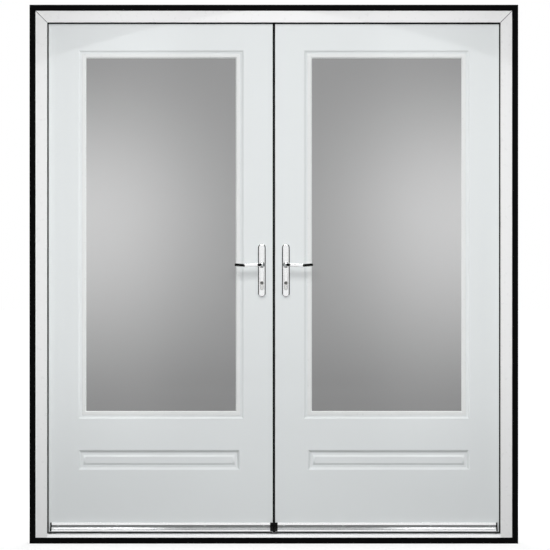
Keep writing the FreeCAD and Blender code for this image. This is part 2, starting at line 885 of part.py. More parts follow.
def glazing():
    """Outer and inner cassettes that meet in the middle of the leaf, and the sealed unit."""
    face = "leaf_front + bead_setback"
    floor = "leaf_front + surround_depth"
    flange = slab("flange", grown(GLASS, "flange_out"), (face, floor))
    meet = "leaf_middle - cassette_gap / 2"
    leg = slab("leg", grown(GLASS, "leg_out"), (floor, meet))
    sight = slab("sight", GLASS, (face, "leaf_middle"))
    chamfer = frustum(
        "bead_chamfer_tool",
        (face, f"{face} + bead_chamfer"),
        grown(GLASS, "bead_chamfer"),
        GLASS,
    )
    seat = slab("unit_seat", grown(GLASS, "leg_in"), ("unit_front", "leaf_middle"))
    cassette = cut("cassette", fuse("cassette_block", flange, leg), sight, chamfer, seat)
    both("outer_cassette", cassette)
    both("inner_cassette", mirrored("inner_cassette", cassette, "y"))

    unit = grown(GLASS, "unit_cover")
    outer = slab("outer_pane", unit, ("unit_front", "unit_front + pane_thickness"))
    inner = slab("inner_pane", unit, ("unit_back - pane_thickness", "unit_back"))
    cavity = ("unit_front + pane_thickness", "unit_back - pane_thickness")
    ring = grown(unit, "-(spacer_inset)")
    hole = grown(unit, "-(spacer_inset + spacer_width)")
    spacer = cut("spacer", slab("spacer_block", ring, cavity), slab("spacer_hole", hole, cavity))
    both("glass_unit", group("unit", outer, spacer, inner))


def weatherbar():
    """An extruded drip bar with a screw groove, its end caps, and the seal under the leaf."""

    def at(out, up):
        """A corner of the profile, from its distance off the leaf and its height on the bar."""
        return (f"leaf_front - ({out})", f"bar_low + {up}")

    face = [
        at("0", "0"),
        at("0", "bar_height"),
        at("bar_lip", "bar_height"),
        at("bar_lip", "groove_top"),
        at("bar_groove", "groove_top"),
        at("bar_groove", "groove_bottom"),
        at("bar_shoulder", "groove_bottom"),
        at("bar_depth - bar_nose_slope", "bar_nose_height + bar_nose_slope"),
        at("bar_depth", "bar_nose_height"),
        at("bar_depth", "0"),
    ]
    underside = [
        at("bar_depth - bar_wall", "0"),
        at("bar_depth - bar_wall", "bar_nose_height + bar_nose_slope - bar_wall"),
        at("bar_shoulder", "groove_bottom - bar_wall"),
        at("bar_wall", "groove_bottom - bar_wall"),
        at("bar_wall", "0"),
    ]
    length = "bar_right - bar_left"
    bar = section("bar_profile", "YZ_Plane", [face + underside], length, x="bar_left")
    both("weatherbar", cut("weatherbar", bar, screws))
    both("weatherbar_screws", screws)
    caps = [
        section("cap_left", "YZ_Plane", [face], "outer_cap_length", x="bar_left - outer_cap_length"),
        section("cap_right", "YZ_Plane", [face], "inner_cap_length", x="bar_right"),
    ]
    both("weatherbar_caps", group("caps", *caps))

    seal = box(
        "bottom_seal",
        ("leaf_left + leaf_clearance", "leaf_right - seal_clearance"),
        ("core_front", "core_front + bottom_seal_width"),
        ("threshold_top + seal_clearance", "leaf_bottom"),
    )
    both("bottom_seal", seal)

    # a flexible strip on the slave leaf fills the gap between the leaves
    setback = "leaf_front + meeting_seal_setback"
    lip = box(
        "meeting_seal",
        ("leaf_right", "meeting_gap / 2 - seal_clearance"),
        (setback, f"{setback} + meeting_seal_width"),
        ("threshold_top + seal_clearance", "leaf_top"),
    )
    slave("meeting_seal", lip)


# ------------------------------------------------------------------ locks


def faceplate_block(name, margin="0"):
    half = f"faceplate_width / 2 + {margin}"
    return box(
        name,
        (f"case_mouth - {margin}", "leaf_right"),
        (f"leaf_middle - ({half})", f"leaf_middle + {half}"),
        (f"leaf_bottom + faceplate_foot - {margin}", f"leaf_top - faceplate_head + {margin}"),
    )


def case_block(name, margin):
    """The main lock case of the master leaf, from its back to the faceplate."""
    return box(
        name,
        (f"case_left - ({margin})", "case_mouth"),
        (f"case_front - ({margin})", f"case_back + {margin}"),
        (f"case_low - ({margin})", f"case_high + {margin}"),
    )


def slave_case_block(name, margin):
    """The slave leaf's case, set back so that the master's bolts pass in front of it."""
    return box(
        name,
        (f"case_left - ({margin})", f"slave_mouth + {margin}"),
        (f"case_front - ({margin})", f"case_back + {margin}"),
        (f"case_low - ({margin})", f"slave_case_high + {margin}"),
    )


def hook_case_block(name, z, margin):
    return box(
        name,
        (f"leaf_right - hook_case_depth - ({margin})", "case_mouth"),
        (f"case_front - ({margin})", f"case_back + {margin}"),
        (f"{z} - hook_case_below - ({margin})", f"{z} + hook_case_above + {margin}"),
    )


def rail_block(name, margin, travel):
    """The straight run of the drive rail, with play and travel where it is a channel."""
    return box(
        name,
        (f"rail_left - ({margin})", f"rail_right + {margin}"),
        (f"rail_front - ({margin})", f"rail_back + {margin}"),
        (
            f"lower_hook_z - hook_width - ({travel})",
            f"upper_hook_z + hook_width + {margin}",
        ),
    )


def rail_channel():
    return rail_block("rail_channel", "rail_play", "rail_travel + rail_play")


def bolt_opening(name, x, z, height, play):
    return box(
        name,
        x,
        (f"bolt_front - ({play})", f"bolt_back + {play}"),
        (f"{z} - {height} / 2 - ({play})", f"{z} + {height} / 2 + {play}"),
    )


def hook_opening(name, x, z, play):
    """Room for a hook that swings out of its case."""
    return box(
        name,
        x,
        (f"hook_front - ({play})", f"hook_back + {play}"),
        (f"{z} - hook_heel - ({play})", f"{z} + hook_corner + {play}"),
    )


def openings(prefix, x, play):
    """Openings for the latch, the deadbolt and both hooks."""
    return [
        bolt_opening(f"{prefix}_latch", x, "latch_z", "latch_height", play),
        bolt_opening(f"{prefix}_deadbolt", x, "deadbolt_z", "deadbolt_height", play),
        hook_opening(f"{prefix}_upper", x, "upper_hook_z", play),
        hook_opening(f"{prefix}_lower", x, "lower_hook_z", play),
    ]


def keep_pockets():
    return openings("pocket", ("leaf_right - keep_depth", f"leaf_right + {PAST}"), "keep_play")


def shootbolt_bores():
    """Bores for the rods from the slave's case to the leaf's top and bottom."""
    return rod(
        "rod_bore",
        "z",
        "shootbolt_radius + shootbolt_clearance",
        "shootbolt_x",
        "leaf_middle",
        (f"leaf_bottom - {PAST}", f"leaf_top + {PAST}"),
    )


def hollowed(name, block, x, z):
    """A sheet-metal case, open towards the faceplate."""
    inner_y = ("case_front + case_wall", "case_back - case_wall")
    return cut(f"{name}_shell", block, box(f"{name}_room", x, inner_y, z))


def faceplates():
    through = (f"case_mouth - {PAST}", f"leaf_right + {PAST}")
    master = faceplate_block("faceplate")
    master = cut("master_strip", master, *openings("window", through, "bolt_window"))
    node("master_faceplate", master)
    keeps = cut(
        "keep_strip", faceplate_block("keep_block"), *openings("keep", through, "keep_play")
    )
    slave("faceplate", keeps)


def lock_cases():
    wall = "case_wall"
    main = hollowed(
        "main",
        case_block("main_case", "0"),
        (f"case_left + {wall}", f"case_mouth + {PAST}"),
        (f"case_low + {wall}", f"case_high - {wall}"),
    )
    parts = [main]
    for name, z in (("upper", "upper_hook_z"), ("lower", "lower_hook_z")):
        shell = hollowed(
            f"{name}_hook",
            hook_case_block(f"{name}_hook_case", z, "0"),
            (f"leaf_right - hook_case_depth + {wall}", f"case_mouth + {PAST}"),
            (f"{z} - hook_case_below + {wall}", f"{z} + hook_case_above - {wall}"),
        )
        pin = rod(
            f"{name}_pivot",
            "y",
            "hook_pin_radius",
            "hook_x",
            ("rail_back + rail_play", f"case_back - {wall}"),
            z,
        )
        parts.append(fuse(f"{name}_hook_housing", shell, pin))
    slot = rail_channel()
    cases = [
        cut("main_lock", parts[0], spindle_bore, key_bore, slot),
        cut("upper_lock", parts[1], slot),
        cut("lower_lock", parts[2], slot),
    ]
    node("master_lock_cases", group("master_cases", *cases))

    slave_main = hollowed(
        "slave_main",
        slave_case_block("slave_case", "0"),
        (f"case_left + {wall}", f"slave_mouth + {PAST}"),
        (f"case_low + {wall}", f"slave_case_high - {wall}"),
    )
    slave_main = cut("slave_lock", slave_main, spindle_bore, key_bore, shootbolt_bores())
    slave("lock_case", slave_main)


def master_bolts():
    """Latch, deadbolt, drive gear, drive rail and the two hooks."""
    latch = box(
        "latch_block",
        ("leaf_right + latch_throw - latch_length", "leaf_right + latch_throw"),
        ("bolt_front", "bolt_back"),
        ("latch_z - latch_height / 2", "latch_z + latch_height / 2"),
    )
    tip = "leaf_right + latch_throw"
    bevel = section(
        "latch_bevel",
        "XY_Plane",
        [
            [
                (f"{tip} + {PAST}", f"bolt_front + latch_throw + {PAST}"),
                (f"{tip} - latch_throw - {PAST}", f"bolt_front - {PAST}"),
                (f"{tip} + {PAST}", f"bolt_front - {PAST}"),
            ]
        ],
        "latch_height + 2",
        z=f"latch_z - latch_height / 2 - {PAST}",
    )
    node("master_latch", cut("latch", latch, bevel))

    end = "leaf_right - deadbolt_setback"
    bolt = box(
        "deadbolt",
        (f"{end} - deadbolt_length", end),
        ("bolt_front", "bolt_back"),
        ("deadbolt_z - deadbolt_height / 2", "deadbolt_z + deadbolt_height / 2"),
    )
    node("master_deadbolt", bolt)

    depth = ("rail_front", "rail_back")
    gear = cut(
        "gear",
        rod("gear_disc", "y", "gear_radius", "spindle_x", depth, "spindle_z"),
        rod("gear_hole", "y", "spindle_corner + gear_clearance", "spindle_x", depth, "spindle_z"),
    )
    node("master_drive_gear", gear)

    arm = box(
        "rail_arm",
        ("spindle_x + gear_radius + rail_play", "rail_left"),
        depth,
        ("spindle_z - rail_arm_height / 2", "spindle_z + rail_arm_height / 2"),
    )
    node("master_drive_rail", fuse("rail", rail_block("rail_run", "0", "0"), arm))

    shape = [
        ("-hook_width / 2", "-hook_heel"),
        ("hook_width / 2", "-hook_heel"),
        ("hook_width / 2", "hook_length"),
        ("-hook_width / 2 - hook_beak", "hook_length"),
        ("-hook_width / 2 - hook_beak", "hook_length - hook_beak_drop"),
        ("-hook_width / 2 - hook_beak / 2", "hook_length - hook_beak_drop"),
        ("-hook_width / 2 - hook_beak / 2", "hook_length - hook_beak_slot"),
        ("-hook_width / 2", "hook_length - hook_beak_slot"),
    ]
    for name, z in (("upper", "upper_hook_z"), ("lower", "lower_hook_z")):
        loop = [(f"hook_x + ({u})", f"{z} + {v}") for u, v in shape]
        hook = section(f"{name}_hook", "XZ_Plane", [loop], "hook_thickness", y="hook_back")
        bore = rod(
            f"{name}_hook_bore",
            "y",
            "hook_pin_radius + hook_fit",
            "hook_x",
            (f"hook_front - {PAST}", f"hook_back + {PAST}"),
            z,
        )
        node(f"master_hook_{name}", cut(f"{name}_hook_bolt", hook, bore))


def shootbolts():
    """Rods in the slave leaf that run from its case to the head and to the threshold."""
    upper = ("spindle_z + shootbolt_start", "leaf_top - shootbolt_inset")
    lower = ("leaf_bottom + shootbolt_inset", "spindle_z - shootbolt_start")
    for name, z in (("top", upper), ("bottom", lower)):
        bolt = rod(f"{name}_rod", "z", "shootbolt_radius", "shootbolt_x", "leaf_middle", z)
        slave(f"shootbolt_{name}", bolt)


# ------------------------------------------------------------------ handles and keys


def backplate():
    """A long plate with round ends and a softened front edge."""
    body = doc.addObject("PartDesign::Body", "backplate")
    plane = next(f for f in body.Origin.OriginFeatures if f.Role == "XZ_Plane")
    sketch = body.newObject("Sketcher::SketchObject", "backplate_sketch")
    sketch.AttachmentSupport = (plane, [""])
    sketch.MapMode = "FlatFace"
    radius = number("plate_width / 2")
    high_text = "plate_above - plate_width / 2"
    low_text = "plate_above - plate_height + plate_width / 2"
    high, low = number(high_text), number(low_text)
    point = FreeCAD.Vector
    top = Part.Circle(point(0, high, 0), point(0, 0, 1), radius)
    bottom = Part.Circle(point(0, low, 0), point(0, 0, 1), radius)
    sketch.addGeometry(Part.LineSegment(point(radius, low, 0), point(radius, high, 0)))
    sketch.addGeometry(Part.ArcOfCircle(top, 0, math.pi))
    sketch.addGeometry(Part.LineSegment(point(-radius, high, 0), point(-radius, low, 0)))
    sketch.addGeometry(Part.ArcOfCircle(bottom, math.pi, 2 * math.pi))
    for joint in ((0, 2, 1, 1), (1, 2, 2, 1), (2, 2, 3, 1), (3, 2, 0, 1)):
        sketch.addConstraint(Sketcher.Constraint("Tangent", *joint))
    for arc in (1, 3):
        sketch.addConstraint(Sketcher.Constraint("PointOnObject", arc, 3, -2))
    hold(sketch, high_text, "DistanceY", -1, 1, 1, 3)
    hold(sketch, low_text, "DistanceY", -1, 1, 3, 3)
    hold(sketch, "plate_width / 2", "Radius", 1)
    pad = body.newObject("PartDesign::Pad", "backplate_pad")
    pad.Profile = sketch
    bind(pad, "Length", "plate_thickness")
    doc.recompute()
    front = pad.Shape.BoundBox.YMin
    rim = [
        f"Edge{i}"
        for i, edge in enumerate(pad.Shape.Edges, start=1)
        if abs(edge.BoundBox.YMax - front) < 1e-6
    ]
    soft = body.newObject("PartDesign::Fillet", "backplate_soft")
    soft.Base = (pad, rim)
    bind(soft, "Radius", "plate_round")
    body.Tip = soft
    place(body, "spindle_x", "leaf_front", "spindle_z")
    return body


def lever():
    """A collar, a neck that turns through a bend, and a grip whose end leans to the leaf."""
    collar = rod(
        "collar",
        "y",
        "collar_radius",
        "spindle_x",
        ("plate_front - handle_play - collar_height", "plate_front - handle_play"),
        "spindle_z",
    )
    body = doc.addObject("PartDesign::Body", "lever_bar")
    planes = {f.Role: f for f in body.Origin.OriginFeatures}
    start = "handle_play + collar_height / 2"

    # the route runs from the collar out along -Y, round the bend, along -X, then back a little
    route = body.newObject("Sketcher::SketchObject", "lever_route")
    route.AttachmentSupport = (planes["XY_Plane"], [""])
    route.MapMode = "FlatFace"
    radius, stand, reach = number("lever_bend"), number("lever_stand"), number("lever_reach")
    straight, back = number("lever_straight"), number("lever_return")
    turn = number("lever_return_bend")
    lean = math.atan(back / (reach - straight))
    point = FreeCAD.Vector
    centre = point(-radius, radius - stand, 0)
    elbow = Part.Circle(centre, point(0, 0, 1), radius)
    second = point(-straight, turn - stand, 0)
    wrist = Part.Circle(second, point(0, 0, 1), turn)
    leave = point(second.x - turn * math.sin(lean), second.y - turn * math.cos(lean), 0)
    route.addGeometry(Part.LineSegment(point(0, -number(start), 0), point(0, centre.y, 0)))
    route.addGeometry(Part.ArcOfCircle(elbow, -math.pi / 2, 0))
    route.addGeometry(Part.LineSegment(point(-radius, -stand, 0), point(-straight, -stand, 0)))
    route.addGeometry(Part.ArcOfCircle(wrist, -math.pi / 2 - lean, -math.pi / 2))
    route.addGeometry(Part.LineSegment(leave, point(-reach, back - stand, 0)))
    route.addConstraint(Sketcher.Constraint("PointOnObject", 0, 1, -2))
    route.addConstraint(Sketcher.Constraint("Vertical", 0))
    route.addConstraint(Sketcher.Constraint("Tangent", 0, 2, 1, 2))
    route.addConstraint(Sketcher.Constraint("Tangent", 1, 1, 2, 1))
    route.addConstraint(Sketcher.Constraint("Horizontal", 2))
    route.addConstraint(Sketcher.Constraint("Tangent", 2, 2, 3, 2))
    route.addConstraint(Sketcher.Constraint("Tangent", 3, 1, 4, 1))
    hold(route, "lever_bend", "Radius", 1)
    hold(route, f"-({start})", "DistanceY", -1, 1, 0, 1)
    hold(route, "-lever_stand", "DistanceY", -1, 1, 2, 2)
    hold(route, "-lever_straight", "DistanceX", -1, 1, 2, 2)
    hold(route, "lever_return_bend", "Radius", 3)
    hold(route, "-lever_reach", "DistanceX", -1, 1, 4, 2)
    hold(route, "lever_return - lever_stand", "DistanceY", -1, 1, 4, 2)

    ring = body.newObject("Sketcher::SketchObject", "lever_ring")
    ring.AttachmentSupport = (planes["XZ_Plane"], [""])
    ring.MapMode = "FlatFace"
    bind(ring, "AttachmentOffset.Base.z", start)
    ring.addGeometry(Part.Circle(point(0, 0, 0), point(0, 0, 1), number("lever_radius")))
    ring.addConstraint(Sketcher.Constraint("Coincident", 0, 3, -1, 1))
    hold(ring, "lever_radius", "Radius", 0)

    pipe = body.newObject("PartDesign::AdditivePipe", "lever_pipe")
    pipe.Profile = ring
    pipe.Spine = (route, [f"Edge{i}" for i in range(1, 6)])
    doc.recompute()
    rings = [(e.CenterOfMass.x, i) for i, e in enumerate(pipe.Shape.Edges, start=1) if e.isClosed()]
    rim = [f"Edge{min(rings)[1]}"]
    soft = body.newObject("PartDesign::Fillet", "lever_tip")
    soft.Base = (pipe, rim)
    bind(soft, "Radius", "lever_tip_round")
    body.Tip = soft
    place(body, "spindle_x", "plate_front", "spindle_z")
    return fuse("lever", collar, body)


def handles():
    plate = cut("bored_plate", backplate(), spindle_bore, key_bore)
    both("outer_backplate", plate)
    both("inner_backplate", mirrored("inner_plate", plate, "y"))
    half = "spindle_size / 2"
    spindle = box(
        "spindle",
        (f"spindle_x - {half}", f"spindle_x + {half}"),
        (
            "plate_front - handle_play - collar_height / 2",
            "2 * leaf_middle - (plate_front - handle_play - collar_height / 2)",
        ),
        (f"spindle_z - {half}", f"spindle_z + {half}"),
    )
    outer = lever()
    both("outer_lever", fuse("lever_and_spindle", outer, spindle))
    both("inner_lever", cut("inner_lever", mirrored("inner_lever_bar", outer, "y"), spindle))


def key_cylinders():
    ends = ("plate_front - cylinder_proud", "2 * leaf_middle - (plate_front - cylinder_proud)")
    half = "cam_thickness / 2 + cam_clearance"
    sweep = "cam_radius + cam_clearance"
    cam_room = box(
        "cam_room",
        (f"spindle_x - ({sweep})", f"spindle_x + {sweep}"),
        (f"leaf_middle - ({half})", f"leaf_middle + {half}"),
        (f"key_z - ({sweep})", f"key_z + {sweep}"),
    )
    plug_hole = rod("plug_hole", "y", "plug_radius + plug_fit", "spindle_x", ends, "key_z")
    both("cylinder", cut("cylinder", key_shape("cylinder_form", "0", ends), cam_room, plug_hole))

    plug_ends = (f"{ends[0]} + plug_setback", f"{ends[1]} - plug_setback")
    plug = rod("plug", "y", "plug_radius", "spindle_x", plug_ends, "key_z")
    cam = box(
        "cam",
        ("spindle_x - cam_width / 2", "spindle_x + cam_width / 2"),
        ("leaf_middle - cam_thickness / 2", "leaf_middle + cam_thickness / 2"),
        ("key_z - cam_length", "key_z"),
    )
    slots = [
        box(
            name,
            ("spindle_x - keyway_width / 2", "spindle_x + keyway_width / 2"),
            y,
            ("key_z - keyway_height / 2", "key_z + keyway_height / 2"),
        )
        for name, y in (
            ("keyway_out", (plug_ends[0], f"{plug_ends[0]} + keyway_depth")),
            ("keyway_in", (f"{plug_ends[1]} - keyway_depth", plug_ends[1])),
        )
    ]
    both("key_plug", cut("key_plug", fuse("plug_and_cam", plug, cam), *slots))


# ------------------------------------------------------------------ hinges


def hinges():
    """Three hinges a leaf: plates on the inside face, knuckles, and a capped pin."""
    frame_plates, leaf_plates, pins = [], [], []
    for i, z in enumerate(("hinge_low", "hinge_centre", "hinge_high")):
        half = (f"{z} - hinge_half", f"{z} + hinge_half")
        middle = (f"{z} - hinge_middle", f"{z} + hinge_middle")
        y = ("back", "hinge_y")
        radius = "hinge_knuckle_radius"
        pin_hole = rod(f"pin_hole_{i}", "z", "hinge_pin_radius", "hinge_x", "hinge_y", half)
        gap = box(
            f"knuckle_gap_{i}",
            ("hinge_x - hinge_frame_start", "hinge_x + hinge_leaf_reach"),
            (f"back - {PAST}", f"hinge_y + {radius} + {PAST}"),
            (f"{middle[0]} - hinge_play", f"{middle[1]} + hinge_play"),
        )
        start = "hinge_x - hinge_frame_start"
        plate = box(
            f"frame_plate_{i}",
            ("hinge_x - hinge_frame_reach", start),
            ("back", "back + hinge_plate"),
            half,
        )
        web = box(f"frame_web_{i}", (start, "hinge_x"), y, half)
        knuckle = rod(f"frame_knuckle_{i}", "z", radius, "hinge_x", "hinge_y", half)
        fixed = fuse(f"frame_hinge_solid_{i}", plate, web, knuckle)
        frame_plates.append(cut(f"frame_hinge_{i}", fixed, gap, pin_hole))

        plate = box(
            f"leaf_plate_{i}",
            ("hinge_x + hinge_leaf_start", "hinge_x + hinge_leaf_reach"),
            ("leaf_back", "back"),
            half,
        )
        web = box(f"leaf_web_{i}", ("hinge_x", f"hinge_x + {radius}"), y, middle)
        knuckle = rod(f"leaf_knuckle_{i}", "z", radius, "hinge_x", "hinge_y", middle)
        bore = rod(
            f"leaf_bore_{i}",
            "z",
            "hinge_pin_radius + hinge_fit",
            "hinge_x",
            "hinge_y",
            (f"{middle[0]} - {PAST}", f"{middle[1]} + {PAST}"),
        )
        moving = fuse(f"leaf_hinge_solid_{i}", plate, web, knuckle)
        leaf_plates.append(cut(f"leaf_hinge_{i}", moving, bore))

        pin = rod(f"pin_{i}", "z", "hinge_pin_radius", "hinge_x", "hinge_y", half)
        cap = rod(
            f"pin_cap_{i}",
            "z",
            radius,
            "hinge_x",
            "hinge_y",
            (half[1], f"{half[1]} + hinge_cap"),
        )
        pins.append(fuse(f"capped_pin_{i}", pin, cap))

    both("hinge_leaves", group("leaf_hinges", *leaf_plates))
    plates = group("frame_hinges", *frame_plates)
    node("hinge_frame_plates", group("plates", plates, mirrored("plates_right", plates)))
    pins = group("pins_left", *pins)
    node("hinge_pins", group("pins", pins, mirrored("pins_right", pins)))


# ------------------------------------------------------------------ build and write

frame_pieces()
threshold_pieces()
gasket()
slab_pieces()
edge_frame()
glazing()
weatherbar()
faceplates()
lock_cases()
master_bolts()
shootbolts()
handles()
key_cylinders()
hinges()
doc.recompute()

for thing in doc.Objects:
    if "Invalid" in thing.State or "Error" in thing.State:
        raise RuntimeError(f"{thing.Name} failed: {thing.State}")
for name, solid in NODES.items():
    if solid.Shape.isNull() or not solid.Shape.isValid() or not solid.Shape.Solids:
        raise RuntimeError(f"{name} has no valid shape")
for name, solid in NODES.items():
    solid.Shape.exportStep(f"parts/{name}.step")
print(f"{len(NODES)} pieces written")
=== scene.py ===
import json
import math

import bmesh
import bpy
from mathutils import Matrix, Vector


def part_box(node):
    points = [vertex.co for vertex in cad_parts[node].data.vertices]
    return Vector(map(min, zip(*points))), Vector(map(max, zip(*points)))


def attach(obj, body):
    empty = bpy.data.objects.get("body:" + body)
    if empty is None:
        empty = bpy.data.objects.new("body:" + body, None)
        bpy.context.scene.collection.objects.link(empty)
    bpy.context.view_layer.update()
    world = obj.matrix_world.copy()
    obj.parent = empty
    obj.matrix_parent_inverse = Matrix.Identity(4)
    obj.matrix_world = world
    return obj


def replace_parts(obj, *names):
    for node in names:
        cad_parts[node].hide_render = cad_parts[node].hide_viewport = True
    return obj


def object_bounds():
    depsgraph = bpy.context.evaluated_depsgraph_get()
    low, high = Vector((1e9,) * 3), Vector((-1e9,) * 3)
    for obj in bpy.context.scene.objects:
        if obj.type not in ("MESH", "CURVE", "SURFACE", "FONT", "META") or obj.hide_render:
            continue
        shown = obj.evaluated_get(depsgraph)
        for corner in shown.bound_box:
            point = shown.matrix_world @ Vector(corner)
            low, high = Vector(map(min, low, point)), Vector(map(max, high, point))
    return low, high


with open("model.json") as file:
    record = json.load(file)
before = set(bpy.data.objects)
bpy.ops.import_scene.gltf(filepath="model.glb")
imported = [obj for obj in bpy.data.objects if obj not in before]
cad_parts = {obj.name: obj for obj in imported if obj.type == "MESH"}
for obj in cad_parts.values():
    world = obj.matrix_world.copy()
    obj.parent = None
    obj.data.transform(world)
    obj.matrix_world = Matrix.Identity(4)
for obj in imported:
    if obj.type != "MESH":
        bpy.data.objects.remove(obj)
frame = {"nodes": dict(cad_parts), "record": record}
cad_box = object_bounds()

# The double door as it looks: every outer piece is rebuilt with its real edges, and the finish of
# each material comes from nodes. The stage is set in metres. The forms are drawn in millimetres
# and become metres by MM.

MM = 0.001
BODY_OF = {
    node: body
    for body, nodes in frame["record"]["behaviour"]["bodies"].items()
    for node in nodes
}
SLOT_OF = {part["node"]: part["material_slot"] for part in frame["record"]["subparts"]}
MIX_FIRST, MIX_SECOND, MIX_RESULT = 6, 7, 2  # a Mix node's colour sockets


# ------------------------------------------------------------------ camera, light and stage

WORLD_FILL = 0.34
CAMERA_DISTANCE = 18.27
CAMERA_ASIDE, CAMERA_BELOW = 4.6 * MM, 3.2 * MM  # from the door's middle


def set_camera():
    """Far in front on the door's middle line, long enough that the sides don't show."""
    camera = bpy.data.objects.new("camera", bpy.data.cameras.new("camera"))
    camera.data.sensor_width = 36
    camera.data.lens = 300
    camera.data.clip_end = 500
    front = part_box("frame_head")[0].y
    middle = (cad_box[0] + cad_box[1]) / 2
    camera.location = (
        middle.x + CAMERA_ASIDE,
        front - CAMERA_DISTANCE,
        middle.z - CAMERA_BELOW,
    )
    camera.rotation_euler = (math.radians(90), 0, 0)
    bpy.context.scene.collection.objects.link(camera)
    bpy.context.scene.camera = camera


def area_light(name, place, towards, size, power, shadow=True, gleam=True, spread=180):
    """A softbox, which may do without its shadow and without its gleam on metal."""
    light = bpy.data.lights.new(name, "AREA")
    light.shape = "RECTANGLE"
    light.size, light.size_y = size
    light.energy = power
    light.use_shadow = shadow
    light.spread = math.radians(spread)
    lamp = bpy.data.objects.new(name, light)
    lamp.location = place
    lamp.rotation_euler = (Vector(towards) - Vector(place)).to_track_quat("-Z", "Y").to_euler()
    lamp.visible_camera = False
    lamp.visible_glossy = gleam
    bpy.context.scene.collection.objects.link(lamp)


def mix_colours(nodes, links, value, first, second):
    """A colour between two, by value. Each is a tuple or another node's socket."""
    mix = nodes.new("ShaderNodeMix")
    mix.data_type = "RGBA"
    links.new(value, mix.inputs["Factor"])
    for number, colour in ((MIX_FIRST, first), (MIX_SECOND, second)):
        if isinstance(colour, tuple):
            mix.inputs[number].default_value = (*colour, 1)
        else:
            links.new(colour, mix.inputs[number])
    return mix.outputs[MIX_RESULT]


def eased(nodes, links, value, start, end, low=0.0, high=1.0):
    """The value, from start to end, brought into low..high with a soft start and end."""
    remap = nodes.new("ShaderNodeMapRange")
    remap.interpolation_type = "SMOOTHSTEP"
    remap.inputs["From Min"].default_value = start
    remap.inputs["From Max"].default_value = end
    remap.inputs["To Min"].default_value = low
    remap.inputs["To Max"].default_value = high
    links.new(value, remap.inputs["Value"])
    return remap.outputs["Result"]


def times(nodes, links, first, second):
    product = nodes.new("ShaderNodeMath")
    product.operation = "MULTIPLY"
    links.new(first, product.inputs[0])
    links.new(second, product.inputs[1])
    return product.outputs[0]


def background_rays(nodes, links):
    """1 for camera, mirror and glass rays, which see the plain white background."""
    path = nodes.new("ShaderNodeLightPath")
    total = path.outputs["Is Camera Ray"]
    for ray in ("Is Glossy Ray", "Is Transmission Ray"):
        add = nodes.new("ShaderNodeMath")
        add.operation = "MAXIMUM"
        links.new(total, add.inputs[0])
        links.new(path.outputs[ray], add.inputs[1])
        total = add.outputs[0]
    return total


def set_world():
    """A pale even fill, seen as plain white by the rays that see the background."""
    world = bpy.data.worlds.new("studio")
    world.use_nodes = True
    nodes, links = world.node_tree.nodes, world.node_tree.links
    nodes.clear()
    fill = nodes.new("ShaderNodeBackground")
    fill.inputs["Color"].default_value = (0.97, 0.985, 1.0, 1)
    fill.inputs["Strength"].default_value = WORLD_FILL
    white = nodes.new("ShaderNodeBackground")
    white.inputs["Color"].default_value = (1, 1, 1, 1)
    mix = nodes.new("ShaderNodeMixShader")
    out = nodes.new("ShaderNodeOutputWorld")
    links.new(background_rays(nodes, links), mix.inputs["Fac"])
    links.new(fill.outputs[0], mix.inputs[1])
    links.new(white.outputs[0], mix.inputs[2])
    links.new(mix.outputs[0], out.inputs["Surface"])
    bpy.context.scene.world = world


FLOOR_REACH = 120
FLOOR_DROP = 0.2 * MM
FLOOR_BOUNCE = (0.3, 0.3, 0.3)  # what the floor throws back on the door
FLOOR_SEEN = (0.6, 0.6, 0.6)
FLOOR_LIT_TO, FLOOR_DIM_FROM = 0.8, 3.8  # distances between which the lamps fall off
FLOOR_GLOW_NEAR, FLOOR_GLOW_FAR = 0.45, 0.83


def floor_material():
    """Diffuse paint that takes the shadow, and a glow that brings it up to white."""
    material = bpy.data.materials.new("floor_white")
    material.use_nodes = True
    nodes, links = material.node_tree.nodes, material.node_tree.links
    nodes.clear()
    seen = background_rays(nodes, links)
    paint = nodes.new("ShaderNodeBsdfDiffuse")
    shade = mix_colours(nodes, links, seen, FLOOR_BOUNCE, FLOOR_SEEN)
    links.new(shade, paint.inputs["Color"])
    away = nodes.new("ShaderNodeVectorMath")
    away.operation = "LENGTH"
    links.new(nodes.new("ShaderNodeTexCoord").outputs["Object"], away.inputs[0])
    missing = eased(
        nodes,
        links,
        away.outputs["Value"],
        FLOOR_LIT_TO,
        FLOOR_DIM_FROM,
        FLOOR_GLOW_NEAR,
        FLOOR_GLOW_FAR,
    )
    glow = nodes.new("ShaderNodeEmission")
    links.new(times(nodes, links, seen, missing), glow.inputs["Strength"])
    both = nodes.new("ShaderNodeAddShader")
    links.new(paint.outputs[0], both.inputs[0])
    links.new(glow.outputs[0], both.inputs[1])
    out = nodes.new("ShaderNodeOutputMaterial")
    links.new(both.outputs[0], out.inputs["Surface"])
    return material


def stage_face(name, corners, material):
    """A flat four-cornered piece of the stage."""
    mesh = bpy.data.meshes.new(name)
    mesh.from_pydata(corners, [], [(0, 1, 2, 3)])
    mesh.materials.append(material)
    face = bpy.data.objects.new(name, mesh)
    bpy.context.scene.collection.objects.link(face)
    return face


def set_floor():
    """A white floor at the foot of the frame."""
    level = cad_box[0].z - FLOOR_DROP
    turns = (-1, -1), (1, -1), (1, 1), (-1, 1)
    corners = [(FLOOR_REACH * x, FLOOR_REACH * y, level) for x, y in turns]
    stage_face("floor", corners, floor_material())


FLAG_ASIDE, FLAG_REACH, FLAG_HEIGHT = 1.7, 6.0, 5.0
FLAG_TOP, FLAG_TOP_REACH = 3.8, 2.0
LOW_FLAG_HALF, LOW_FLAG_NEAR, LOW_FLAG_FAR, LOW_FLAG_LEVEL = 0.5, 0.16, 0.9, 0.6


def upright_card(x):
    reach = FLAG_REACH
    return [(x, reach, 0), (x, -reach, 0), (x, -reach, FLAG_HEIGHT), (x, reach, FLAG_HEIGHT)]


